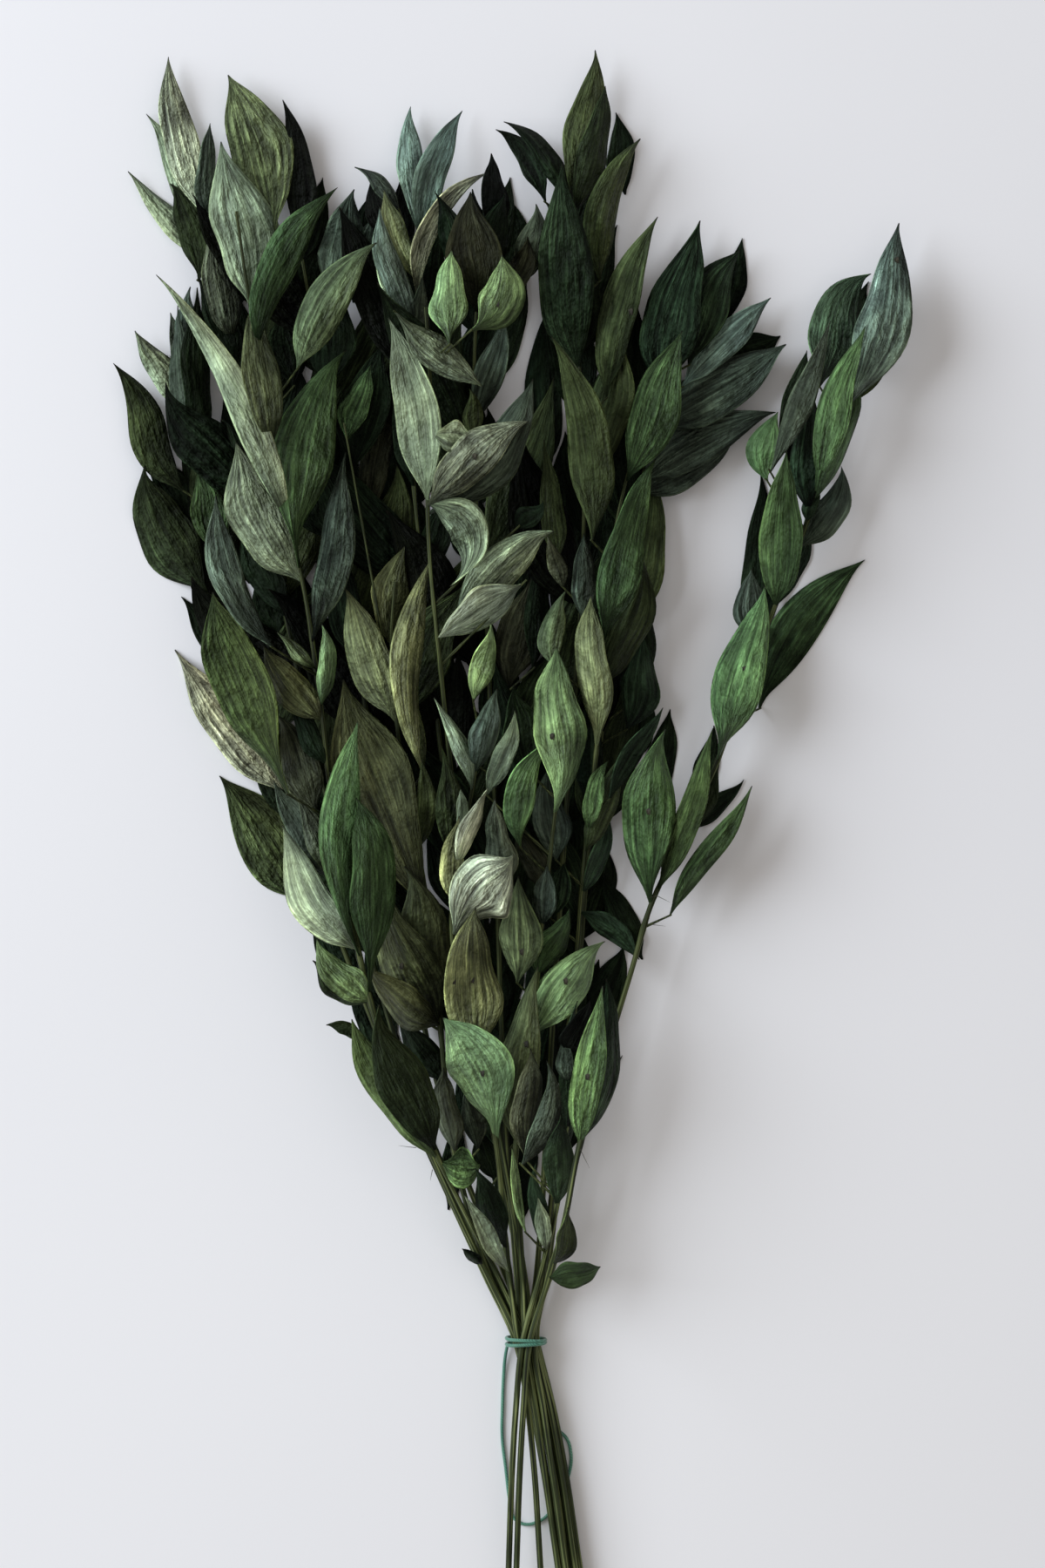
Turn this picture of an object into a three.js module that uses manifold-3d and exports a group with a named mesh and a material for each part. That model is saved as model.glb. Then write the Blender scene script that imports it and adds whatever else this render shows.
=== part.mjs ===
// A bunch of preserved ruscus lying on a surface: sixteen leafy stems, gathered in a neck by an elastic
// tie whose free loop lies under the cut ends. Millimetres, +Z up, +Y from the tie to the leaf tips.
import * as THREE from "three";
import { mergeVertices } from "three/addons/utils/BufferGeometryUtils.js";
import Module from "manifold-3d";

// Driving dimensions. Plan points below are measured from the middle of the tie.
const ORIGIN_X = -6.5; // the plan point, in the middle of the bunch, over which the part's origin stands
const ORIGIN_Y = 233.4;

const CUT_END_Y = -128; // where the stems are cut off
const STEM_RADIUS = 1.4;
const STEM_SIDES = 5;
const KNOT_SPACING = 29; // between the points that a stem bends at
const STEM_SLOPE = 0.4; // the steepest that a stem climbs
const STEM_SWATH = 2.2; // how far to each side of it a stem feels what it lies on
const LAYER_BASE = 3.7; // height of the lowest stems in the neck
const LAYER_RISE = 3.2; // from one layer of stems in the neck to the next
const TOP_LAYER = 4;
const NECK_TOP_Y = 34; // the stems keep their layers up to here
const LEAF_ZONE_Y = 100; // from here a stem leaves room for its own leaves below it
const ROOM_BELOW = 2.5;
const ARCH_REACH = 200; // past the neck a stem takes this long to rise by its spray's arch
const LOWEST_END = STEM_RADIUS - 0.35; // the lowest stems' cut ends are pressed on the surface
const LOOP_CLEAR_Y = -90; // they drop to it only past the elastic's loop

const BLADE_THICKNESS = 1.2;
const BLADE_SLOPE = 0.8;
const TWIST = 12; // degrees from a blade's base to its tip, at most
const STEEPEST_ROLL = 42;
const ROLL_KEPT = 0.6; // share of its free roll that a blade keeps in the pile
const LEAN_SHARE = 0.7; // and its share of the lean of what it lies on
const LEAN_REACH = 0.7;
const GAP = 0.7; // between a blade and what it lies on
const ROOT_CLEAR = 5; // this near its root a blade doesn't feel the pile
const REST_SINK = 0.45; // how far a resting blade is pressed flat
const PETIOLE_WIDTH = 1.8;
const PETIOLE_FROM = 8; // a blade further than this from its stem stands on a petiole
const PETIOLE_SLANT = 0.8; // how far down the stem it starts, as a share of that distance

const TIE_INNER_HALF = 7.8;
const TIE_THICKNESS = 1.7;
const TIE_WIDTH = 3.6;
const TIE_ROOM = 0.4; // between the top stems and the band
const TIE_LOW_CORNER = 4;
const TIE_HIGH_CORNER = 7.5;
const TIE_SEGMENTS = 4;
const LOOP_RADIUS = 0.9;
const LOOP_SIDES = 8;
const LOOP_STEPS = 42;

// A blade's stations from base to tip: place along the spine, width as a share of the widest.
const STATIONS = [
  [0.16, 0.68],
  [0.38, 1.0],
  [0.62, 0.9],
  [0.84, 0.48],
];
const SMALL_STATIONS = [
  [0.2, 0.76],
  [0.5, 1.0],
  [0.8, 0.56],
];
const SMALL_WIDTH = 12.5; // a narrower blade has the small stations
const FOLD = [-0.05, 0.09]; // how far a blade's edges stand above its midrib, as a share of its width
const WAVE = [-0.06, 0.06]; // how far they sway up and down from station to station

// Each spray, from the bottom of the pile to the top. layer: its place in the neck. path: the stem's
// plan from the cut end to the top. A leaf is [base x, base y, tip x, tip y, width, bow, roll]: bow is
// the bulge to the left of the spine, roll in degrees lifts the left side. rest: blades pressed flat
// on the surface. fill: hidden leaves, [from, to, step] along the stem, then [left, right] spread in
// degrees, length and width. arch: how far the free blades rise above the stem.
const SPRAYS = [
  {
    layer: 0, arch: 3,
    path: [[18.2, -128], [6, -45], [-4.9, 0], [-23.5, 40], [-39.5, 75], [-60, 120], [-84, 180],
      [-108, 245], [-128, 310], [-143, 375], [-152, 430], [-156, 470]],
    rest: [[-104, 203, -142, 261, 28, -3, 0]],
    under: [[-110, 252, -161, 320, 14, 1, -15], [-150, 440, -165, 475, 9, 0, 35],
      [-150, 445, -157, 487, 11, 0, -35], [-140, 360, -150, 430, 22, 0, 10]],
    over: [[-160, 428, -181, 466, 10, -2, 35], [-157.5, 392, -191, 451, 16, 0, 10],
      [-146, 400, -160, 478, 13, 3, -30], [-146, 415, -150, 486, 13, 3, 30],
      [-147, 345, -179.5, 402.5, 25, 2, -8], [-146, 366, -151.5, 404, 15.5, 0, 10]],
    fill: [[235, 330, 80], [10, 30], 80, 26],
  },
  {
    layer: 0, arch: 3,
    path: [[21.6, -128], [10, -45], [-1.63, 0], [-20, 40], [-36, 75], [-55, 120], [-72, 180],
      [-92, 250], [-110, 330], [-124, 400], [-134, 455], [-143, 505], [-149, 545]],
    under: [[-150, 500, -183, 541, 9, 2, 35], [-148, 500, -174, 568, 12, -1, -30],
      [-151, 489, -162.5, 536, 17, -5, 10], [-142, 455, -150, 490, 12, 0, 0],
      [-108, 440, -112, 475, 16, 0, 0], [-115, 335, -132, 375, 16, 0, 0]],
    over: [[-146, 512, -165.5, 593, 15, 4.5, 12], [-134, 413, -139, 425, 9, 0, 0],
      [-130, 465, -146, 512, 17, 0, -10], [-140, 520, -146, 562, 10, 2, 30]],
    fill: [[205, 440, 90], [25, 28], 82, 26],
  },
  {
    layer: 0, arch: 3,
    path: [[25, -128], [13, -45], [1.63, 0], [-13, 40], [-30, 80], [-44, 130], [-58, 200], [-72, 280],
      [-84, 360], [-93, 430], [-100, 480], [-106, 515]],
    rest: [[-97, 505, -94, 538, 13, 0, 0]],
    under: [[-85, 490, -71, 518, 11, 0, -20], [-92, 440, -85, 490, 22, 0, 0],
      [-85, 320, -92, 370, 18, 0, 0], [-80, 365, -84, 410, 12, 0, 0]],
    over: [[-72, 380, -62, 450, 15, 0, -20], [-80, 400, -67, 460, 20, 0, 15],
      [-91, 480, -82.5, 531, 20, -3, 8], [-100, 500, -110.5, 573, 12.5, -2, 15],
      [-116, 510, -137.5, 584.5, 27, -3, 4]],
    fill: [[190, 480, 90], [28, 28], 84, 26],
  },
  {
    layer: 0, arch: 3,
    path: [[28.4, -128], [16, -45], [4.9, 0], [-4, 40], [-14, 90], [-24, 150], [-34, 230], [-44, 310],
      [-52, 400], [-52, 460], [-48, 510]],
    rest: [[-58, 500, -58, 538, 12, 0, 0]],
    under: [[-62, 505, -72, 536, 13, 0, -15], [-56, 395, -60, 440, 10, 0, 0],
      [-45, 350, -38, 392, 14, 0, 0], [-36, 140, -44, 190, 12, 0, 0]],
    over: [[-58, 520, -79, 542, 8, -3, 30], [-44, 455, -47, 492, 9, 0, 30],
      [-53, 468, -70, 505, 8, 2, 35], [-49, 490, -65, 530, 11, 3, -15],
      [-48, 468, -67, 522, 13, 3, 20], [-48.5, 508, -55, 570, 12, 0.5, 15],
      [-46, 509, -29.5, 568, 15, 5.5, -8], [-44, 486, -16.5, 539, 11, 11, 12]],
    fill: [[170, 460, 90], [28, 28], 84, 26],
  },
  {
    layer: 1, arch: 4,
    path: [[21.6, -128], [10, -45], [-1.63, 0], [-5, 40], [-9, 90], [-12, 160], [-14, 240], [-18, 330],
      [-24, 400], [-24, 460], [-20, 500]],
    under: [[-26, 500, -24, 530, 12, 0, 15], [-16, 508, -14.5, 547, 14, 0, -10],
      [-30, 480, -40, 528, 16, 0, 0], [-24, 425, -9, 474, 13, 0, 0], [-8, 300, 2, 352, 20, 0, 0],
      [3, 310, 8, 365, 12, 0, 0], [-28, 270, -32, 318, 12, 0, 0], [9, 105, 12, 155, 12, 0, 0]],
    over: [[-22, 495, -8, 528, 16, 0, 10], [-2, 487, 5.5, 523.5, 13, -2, -15],
      [-14, 478, 1, 508, 14, -3, 15], [-25, 478, -25, 528, 24, 0, 5]],
    fill: [[210, 460, 100], [28, 26], 84, 25],
  },
  {
    layer: 1, arch: 4,
    path: [[28.4, -128], [16, -45], [4.9, 0], [12, 45], [17, 100], [24, 170], [30, 240], [38, 310],
      [48, 370], [58, 420], [66, 455]],
    under: [[54, 391, 98, 416, 17, 1, 10], [50, 295, 56, 343, 11, -1, 15], [26, 250, 28, 300, 12, 0, 0],
      [46, 385, 42, 446, 13, 0, 0], [54, 410, 50, 486, 14, 0, 0]],
    over: [[56, 398, 115, 430, 21, 5, 0], [64, 422, 119, 461, 24, -1, 5], [72, 440, 112, 482, 14, 0, 25],
      [75, 450, 100, 502, 22, 5, 0], [62, 440, 80, 517, 25, 3, 10], [46, 282, 55, 327, 16, -2, -8]],
    fill: [[190, 400, 90], [24, 6], 80, 24],
  },
  {
    layer: 1, arch: 4,
    path: [[25, -128], [13, -45], [1.63, 0], [6, 40], [9, 90], [13, 160], [18, 240], [24, 320],
      [27, 380], [25, 440], [22, 500], [20, 535]],
    under: [[9, 524, -13.5, 560, 10, -4, 15], [14, 530, -10, 563, 9, -4, -30]],
    over: [[15, 360, 7, 415, 11, 0, 30], [18, 527, 34.5, 595, 17, 1, 8],
      [21, 517, 36.5, 578, 16.5, -2.5, 0],
      [34, 489, 52.5, 554, 15.5, 7.5, -8], [37, 434.5, 60.5, 518.5, 17, 6, 5],
      [26.5, 449, 14, 541, 24, 1.5, 6]],
    fill: [[230, 440, 110], [26, 10], 84, 24],
  },
  {
    layer: 1, arch: 4,
    path: [[18.2, -128], [6, -45], [-4.9, 0], [-20, 40], [-31, 75], [-36, 110], [-40, 152],
      [-47, 215], [-58, 270], [-62, 320], [-60, 350]],
    under: [[-61.5, 321, -55, 366, 15.5, 5, 12], [-82, 415, -72, 450, 12, 0, -20],
      [-50, 150, -72, 190, 14, 0, 0], [-38, 120, -58, 150, 14, 0, 0], [-14, 75, -22, 100, 12, 0, 0]],
    over: [[-22, 89, -28, 118, 10, 0, 20], [-37, 90, -38, 127, 13, 0, -15],
      [-55, 288, -80.5, 347.5, 21, 2, -8], [-47, 262, -61, 322, 10, 0, 30],
      [-47, 262, -42, 361, 14, 10.5, 12], [-50, 228, -48.5, 268, 9, -3, -12],
      [-38.5, 198, -87, 303.5, 34, -2, 4], [-38, 155, -54, 222, 17, 2, -12],
      [-36, 152, -66, 214, 18, 2, 10], [-36, 150, -72, 168, 16, 3, -15]],
    fill: [[230, 340, 110], [26, 26], 78, 24],
  },
  {
    layer: 2, arch: 5,
    path: [[26, -128], [14, -45], [3.6, 0], [-2, 40], [-11, 90], [-22, 160], [-32, 240], [-40, 320],
      [-45.6, 377], [-43.6, 401], [-43, 430], [-46, 475]],
    under: [[-5, 373, 9, 385, 10, 0, 0], [-24, 413, -25, 438, 8, 0, 25]],
    over: [[-45, 385, -62, 470, 20, -4, 8], [-59.5, 472, -19.5, 440, 18, -4, -10],
      [-35, 457, -34.5, 500.5, 18, 0, 8], [-25.5, 463, -12, 498, 22, -7, -6],
      [-45, 420, -23, 414, 14, -1, 10],
      [-38, 386, 3, 442, 23, -9, 8], [-42, 386, 0, 424, 19, 2, -8], [-44, 386, -33, 346, 19, 15, 8],
      [-33, 332, 11, 375, 24, 3, 0], [-2, 348, -40.5, 323.5, 21, -1, 5]],
  },
  {
    layer: 2, arch: 6,
    path: [[19.2, -128], [7, -45], [-3.6, 0], [-22, 40], [-38, 75], [-58, 120], [-71.6, 157],
      [-82, 210], [-91.6, 269], [-94, 297], [-103.6, 357], [-113.6, 393], [-121, 440], [-128, 485],
      [-133, 520]],
    under: [[-72, 158, -95, 178, 15, 3, 10], [-90, 215, -117, 257, 15, 0, -10],
      [-88, 210, -103, 252, 12, 0, 20], [-96, 245, -112, 290, 17, 0, 10],
      [-98, 270, -108, 297, 11, 0, -20], [-127, 478, -141, 552, 28, -3, 8]],
    over: [[-22, 36, -29, 44, 6, 0, 0], [-72, 160, -96, 186, 14, 2, 20], [-80, 232, -88, 263, 11, 0, 25],
      [-85, 186, -108, 239, 24, 6, -12], [-76.5, 181, -74, 285.5, 16, 14, 10],
      [-71, 162, -73, 248, 24, 0, 6], [-93, 286, -120.5, 319.5, 16, 1, -8],
      [-107.5, 252, -148, 343.5, 31, 0, 8], [-99, 312, -114, 326, 7, 0, 20],
      [-115, 319, -141, 389, 16, 9, -8], [-92, 296, -92, 330, 9, -2, 30],
      [-98, 325, -85, 409, 15, -4, 8], [-106, 353, -131, 414, 26, 5.5, 3],
      [-102, 358, -85.5, 458, 26, 8.5, -6], [-112, 376, -168.5, 491.5, 13, -8, 15],
      [-120, 412, -125, 483, 19, 0, 10], [-104, 446, -70, 506.5, 19, 4, 8],
      [-117, 461, -86.5, 531, 17, 9, 10]],
  },
  {
    layer: 2, arch: 4,
    path: [[22.6, -128], [10.5, -45], [0, 0], [-18, 42], [-36, 76], [-46, 100], [-54, 122]],
    under: [[-44, 95, -62, 135, 12, 0, 15]],
    over: [[-76, 140, -91, 148, 6, -2, 20], [-45, 88, -80, 150, 18, 4, 12],
      [-40, 92, -71, 155, 26, 0, -5], [-45, 86, -20.5, 82, 18, -2, 5]],
  },
  {
    layer: 3, arch: 5,
    path: [[21.5, -128], [10, -45], [3.6, 0], [9, 40], [14, 90], [20, 150], [24.4, 187], [26, 215],
      [30, 250], [35, 300], [36, 340], [42, 380], [50, 412]],
    under: [[17, 347, 10, 370, 7, 0, 20], [27, 330, 26, 372, 9, 0, -30], [14, 222, 10, 266, 15, 0, 10],
      [29, 209, 37, 246, 10, -3, 15]],
    over: [[12, 195, 18, 221, 12, 0, -10], [31, 204, 51, 176, 10, 4, 15], [32, 230, 44, 272, 13, 0, 12],
      [28, 235, 37, 268, 9, 2, -20], [38, 250, 64, 291, 11, 3, 15], [36, 302, 54, 361, 21, -2, 8],
      [12, 312, 17, 346, 11, 2, 15], [29.5, 273, 28.5, 343, 16, -1, -8], [37, 325, 57, 407, 19, 2, 10],
      [48, 398, 72, 465, 21, 0, -8], [30, 368, 12.5, 463, 19.5, -7, 8]],
  },
  {
    layer: 3, arch: 5,
    path: [[18.1, -128], [6.5, -45], [0, 0], [-2, 40], [-5, 85], [0, 130], [5, 165], [8, 200],
      [13, 240], [17, 280]],
    under: [[2, 262, -8, 302, 17, 0, 10], [3, 214, -4, 240, 14, 0, -10]],
    over: [[-18, 252, -5, 291, 9, -2, 20], [7, 170, 21, 199, 15, 2, 8], [7, 194, 10, 220, 10, 0, 20],
      [1.5, 140.5, 34.5, 186.5, 18, 3, -10], [-4, 166, -4, 215, 21, -2, 8],
      [-2.5, 228, 10.5, 278.5, 13, 6, 12],
      [17, 245, 15, 320, 24, -1.5, 5], [-8, 95, 4, 174, 20, 4, -8]],
  },
  {
    layer: 3, arch: 6,
    path: [[8.2, -128], [3, -45], [-3.6, 0], [-9, 40], [-13, 88], [-18, 120], [-28, 155], [-36, 190],
      [-30, 225], [-24, 258], [-20, 290]],
    under: [[-33, 225, -38, 275, 12, 0, -15], [-24, 256, -42, 296.5, 9, -3, 18],
      [-27, 236, -30, 255, 6, 0, 20], [-13, 45, -22, 82, 12, 0, -15]],
    over: [[-15, 38, -28, 70, 7, 0, 30], [-25, 264, -14, 301, 12, 0, -15],
      [-24, 295, -15, 330, 10, 0, 20],
      [-36, 205, -29, 242, 9, 3, 25], [-25, 222, -18, 256, 10, 2, 10], [-12, 205, -16, 250, 14, -2, -10],
      [-38, 192, -4, 221, 27, 4.5, 6], [-25, 132, -24.5, 201, 29, 1.5, 3],
      [-14, 92, -38, 150, 27, -7, 8]],
  },
  {
    layer: 4, arch: 4,
    path: [[-8.8, -128], [-6, -45], [-1.63, 0], [4, 22], [10, 42], [14, 64], [18, 90], [20, 120],
      [19, 140]],
    under: [[14, 88, 19, 121, 9, 0, 15], [20, 98, 22, 158, 9, 0, -20], [15, 122, 17, 142, 7, 0, 20]],
    over: [[4, 50, 3, 83, 10, 0, 10], [5, 50, 6, 68, 7, 0, -15], [0, 52, -6, 90, 5, 2, 30],
      [0, 85, 4, 136, 15, 2, 10], [-2, 83, 10, 131, 10, -6, 25], [14, 63, 17, 106, 14, 0, -8],
      [16, 140, 29, 158, 14, 0, 0]],
  },
  {
    layer: 4, arch: 4,
    path: [[-5.2, -128], [-2.4, -45], [1.63, 0], [8, 22], [14.4, 41], [24.4, 93], [34, 125],
      [46.4, 165], [58.4, 205], [78.4, 245], [90.4, 273], [104, 310], [116, 343], [124, 362],
      [134.4, 393], [146, 430], [155, 462]],
    rest: [[108, 292, 157, 361, 20, 8, 0]],
    under: [[33, 102, 40, 168, 12, -4, 15], [73, 236, 88, 268, 9, -3, -20],
      [107, 328, 104, 356, 14, 3, 8],
      [121, 405, 129, 457, 12, 1, 15], [131, 367, 147, 403, 14, -4, -10], [135, 440, 156, 494, 23, 4, 5],
      [150, 432, 178, 488, 12, -2, -20]],
    over: [[13, 38, 18, 64, 11, -3, 15], [13, 32, 33, 34, 14, 0, 20], [25, 93, 35, 165, 13.5, 1, 12],
      [66, 197, 104, 256, 10, 1, 15], [61, 208, 84, 283, 13, -3, 15], [57, 203, 60.5, 283, 25, 3, 5],
      [115, 348, 121, 376, 7, 0, 25], [111, 396, 116, 428, 14, 4, 15], [130, 378, 134, 396, 7, 0, 0],
      [128, 385, 131, 440, 16, 2, 10], [137, 387, 150, 452, 14, -4, -12],
      [145, 434, 168.5, 515, 18, -6.5, 6], [138, 395, 157, 466, 14, 4, 10],
      [112, 400, 139, 470, 9, -2, 30],
      [111, 347, 119, 410, 21, -1, 5], [88.5, 269.5, 111.5, 347.5, 23, 0, -6]],
  },
];

// The elastic's free loop, from the band's left side round under the cut ends and back.
const LOOP_POINTS = [
  [-8.6, -2.3, 3],
  [-9.6, -8, 2],
  [-10.3, -16, 1.05],
  [-10.9, -31, 1.05],
  [-11, -45, 1.05],
  [-9.3, -60, 1.05],
  [-7.6, -74, 1.05],
  [-6.1, -81.6, 1.05],
  [-4.4, -83.6, 1.05],
  [-0.6, -85.4, 1.05],
  [5.4, -84.3, 1.05],
  [10.4, -80.8, 1.05],
  [16, -71, 1.05],
  [20.4, -60.2, 1.05],
  [20.5, -50.6, 1.05],
  [18.7, -45.5, 1.05],
  [15.2, -41.8, 1.05],
  [11, -32, 1.05],
  [8, -18, 1.05],
  [5, -2.3, 1.05],
];

const wasm = await Module();
wasm.setup();

// A closed geometry becomes a solid that can be joined and cut, and the other way round.
function solidOf(geometry) {
  const bare = geometry.clone();
  bare.deleteAttribute("normal");
  bare.deleteAttribute("uv");
  const merged = mergeVertices(bare, 1e-4);
  const mesh = new wasm.Mesh({
    numProp: 3,
    vertProperties: new Float32Array(merged.attributes.position.array),
    triVerts: new Uint32Array(merged.index.array),
  });
  return new wasm.Manifold(mesh);
}

function geometryOf(solid) {
  const mesh = solid.getMesh();
  const geometry = new THREE.BufferGeometry();
  geometry.setAttribute("position", new THREE.BufferAttribute(new Float32Array(mesh.vertProperties), 3));
  geometry.setIndex(new THREE.BufferAttribute(new Uint32Array(mesh.triVerts), 1));
  geometry.computeVertexNormals();
  return geometry;
}

// A repeatable draw, for the small differences between leaves.
const DRAW_FACTOR = 16807;
const DRAW_MODULUS = 2147483647;
let seed = 11;
function draw(low, high) {
  seed = (seed * DRAW_FACTOR) % DRAW_MODULUS;
  return low + (high - low) * (seed / DRAW_MODULUS);
}

// The pile: how high the bunch already stands over each cell of the plan.
const CELL = 3;
const CLOSE = 2.5;
const PILE_X = -210;
const PILE_Y = -140;
const PILE_COLUMNS = 145;
const PILE_ROWS = 262;
const pile = new Array(PILE_COLUMNS * PILE_ROWS).fill(0);

function cellAt(x, y) {
  const column = Math.floor((x - PILE_X) / CELL);
  const row = Math.floor((y - PILE_Y) / CELL);
  return row * PILE_COLUMNS + column;
}

function pileHeight(x, y) {
  return pile[cellAt(x, y)];
}

function raisePile(x, y, z) {
  const half = CELL / 2;
  for (const sideX of [-half, half]) {
    for (const sideY of [-half, half]) {
      const cell = cellAt(x + sideX, y + sideY);
      pile[cell] = Math.max(pile[cell], z);
    }
  }
}

function mix(a, b, t) {
  return a + (b - a) * t;
}

// Raises heights until no step between neighbours is steeper than the slope. The first ones up to
// "fixed" stay as they are.
function easeHeights(heights, lengths, slope, fixed) {
  for (let i = heights.length - 2; i > fixed; i--) {
    heights[i] = Math.max(heights[i], heights[i + 1] - slope * lengths[i]);
  }
  for (let i = fixed + 1; i < heights.length; i++) {
    heights[i] = Math.max(heights[i], heights[i - 1] - slope * lengths[i - 1]);
  }
}

function lengthsBetween(points) {
  return points.slice(1).map((point, i) => Math.hypot(point.x - points[i].x, point.y - points[i].y));
}

// A stem's plan: where it is at each height of the sheet it lies on, with a knot right under the tie.
function stemPlan(path) {
  const topY = path[path.length - 1][1];
  const below = Math.round(-CUT_END_Y / KNOT_SPACING);
  const above = Math.round(topY / KNOT_SPACING);
  const points = [];
  for (let k = -below; k <= above; k++) {
    const y = k < 0 ? (-k * CUT_END_Y) / below : (k * topY) / above;
    const i = Math.min(path.length - 1, Math.max(1, path.findIndex((point) => point[1] >= y)));
    const [fromX, fromY] = path[i - 1];
    const [toX, toY] = path[i];
    points.push({ x: mix(fromX, toX, (y - fromY) / (toY - fromY)), y });
  }
  return points;
}

// A stem's knots: points along its plan with the height at which it passes over the pile.
function stemKnots(spray) {
  const points = stemPlan(spray.path);
  const level = LAYER_BASE + LAYER_RISE * spray.layer;
  const heights = points.map((point) => naturalStemHeight(spray, level, point.y));
  for (let i = 0; i + 1 < points.length; i++) {
    for (let k = 0; k <= 8; k++) {
      const x = mix(points[i].x, points[i + 1].x, k / 8);
      const y = mix(points[i].y, points[i + 1].y, k / 8);
      if (y > NECK_TOP_Y) {
        const room = STEM_RADIUS + GAP + (y > LEAF_ZONE_Y ? ROOM_BELOW : 0);
        const needed = stemSwathHeight(x, y) + room;
        heights[i] = points[i].y > NECK_TOP_Y ? Math.max(heights[i], needed) : heights[i];
        heights[i + 1] = Math.max(heights[i + 1], needed);
      }
    }
  }
  const fixed = points.filter((point) => point.y <= NECK_TOP_Y).length - 1;
  easeHeights(heights, lengthsBetween(points), STEM_SLOPE, fixed);
  return points.map((point, i) => new THREE.Vector3(point.x, point.y, heights[i]));
}

function naturalStemHeight(spray, level, y) {
  if (spray.layer === 0 && y < LOOP_CLEAR_Y) {
    return mix(level, LOWEST_END, (LOOP_CLEAR_Y - y) / (LOOP_CLEAR_Y - CUT_END_Y));
  }
  if (y < NECK_TOP_Y) {
    return level;
  }
  return level + spray.arch * Math.min(1, (y - NECK_TOP_Y) / ARCH_REACH);
}

function stemSwathHeight(x, y) {
  let top = 0;
  for (const sideX of [-STEM_SWATH, 0, STEM_SWATH]) {
    for (const sideY of [-STEM_SWATH, 0, STEM_SWATH]) {
      top = Math.max(top, pileHeight(x + sideX, y + sideY));
    }
  }
  return top;
}

function pileUpStem(knots) {
  for (let i = 0; i + 1 < knots.length; i++) {
    for (let k = 0; k <= 12; k++) {
      const point = knots[i].clone().lerp(knots[i + 1], k / 12);
      for (const side of [-STEM_RADIUS, 0, STEM_RADIUS]) {
        raisePile(point.x + side, point.y, point.z + STEM_RADIUS);
      }
    }
  }
}

// The point on the stem that a leaf grows from: the nearest one to its base, and as far down the
// stem again as the base stands off it.
function rootOn(knots, x, y) {
  let best = { distance: Infinity };
  for (let i = 0; i + 1 < knots.length; i++) {
    for (let k = 0; k < 10; k++) {
      const point = knots[i].clone().lerp(knots[i + 1], k / 10);
      const distance = Math.hypot(point.x - x, point.y - y);
      if (distance < best.distance) {
        best = { distance, along: i + k / 10 };
      }
    }
  }
  const along = Math.max(0, best.along - (PETIOLE_SLANT * best.distance) / KNOT_SPACING);
  const i = Math.min(knots.length - 2, Math.floor(along));
  return { point: knots[i].clone().lerp(knots[i + 1], along - i), distance: best.distance };
}

// A leaf's stations: plan point, half width, roll and edge lifts at each, from the root to the tip.
function leafStations(row, knots, flat) {
  const [baseX, baseY, tipX, tipY, width, bow, roll] = row;
  const root = rootOn(knots, baseX, baseY);
  const onPetiole = root.distance > PETIOLE_FROM;
  const start = onPetiole ? [baseX, baseY] : [root.point.x, root.point.y];
  const length = Math.hypot(tipX - start[0], tipY - start[1]);
  const leftX = -(tipY - start[1]) / length;
  const leftY = (tipX - start[0]) / length;
  const tip = [tipX, tipY];
  const middle = [
    mix(start[0], tipX, 0.5) + 2 * bow * leftX,
    mix(start[1], tipY, 0.5) + 2 * bow * leftY,
  ];
  const twist = flat ? 0 : draw(-TWIST, TWIST);
  const fold = flat ? 0 : draw(...FOLD) * width;
  const wave = flat ? 0 : draw(...WAVE) * width;
  const stations = [{ x: root.point.x, y: root.point.y, half: 0, roll, left: 0, right: 0, u: 0 }];
  if (onPetiole) {
    stations.push({ x: baseX, y: baseY, half: PETIOLE_WIDTH / 2, roll, left: 0, right: 0, u: 0 });
  }
  const places = width < SMALL_WIDTH ? SMALL_STATIONS : STATIONS;
  places.forEach(([u, share], i) => {
    const half = (share * width) / 2 / Math.cos((roll * Math.PI) / 180);
    const sway = i % 2 ? wave : -wave;
    const [x, y] = bent(start, middle, tip, u);
    const lean = flat ? 0 : leanOfPile(x, y, [leftX, leftY], half);
    const tilt = clampRoll(roll * ROLL_KEPT + lean + twist * (u - 0.5));
    stations.push({ x, y, half, roll: tilt, left: share * fold + sway, right: share * fold - sway, u });
  });
  stations.push({ x: tipX, y: tipY, half: 0, roll, left: 0, right: 0, u: 1 });
  return stations;
}

function clampRoll(degrees) {
  return Math.max(-STEEPEST_ROLL, Math.min(STEEPEST_ROLL, degrees));
}

// How the pile leans across a blade, in degrees: a blade settles on what is below it.
function leanOfPile(x, y, left, half) {
  const reach = LEAN_REACH * half;
  const rise = nearHeight(x + reach * left[0], y + reach * left[1])
    - nearHeight(x - reach * left[0], y - reach * left[1]);
  return (LEAN_SHARE * Math.atan2(rise, 2 * reach) * 180) / Math.PI;
}

function nearHeight(x, y) {
  let sum = 0;
  for (const sideX of [-CELL, 0, CELL]) {
    for (const sideY of [-CELL, 0, CELL]) {
      sum += pileHeight(x + sideX, y + sideY);
    }
  }
  return sum / 9;
}

function bent(start, middle, end, u) {
  const a = (1 - u) * (1 - u);
  const b = 2 * u * (1 - u);
  const c = u * u;
  return [a * start[0] + b * middle[0] + c * end[0], a * start[1] + b * middle[1] + c * end[1]];
}

// The plan direction of a leaf's spine at station i, as the unit vector to its left.
function leftOf(stations, i) {
  const before = stations[Math.max(0, i - 1)];
  const after = stations[Math.min(stations.length - 1, i + 1)];
  const length = Math.hypot(after.x - before.x, after.y - before.y);
  return [-(after.y - before.y) / length, (after.x - before.x) / length];
}

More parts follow.
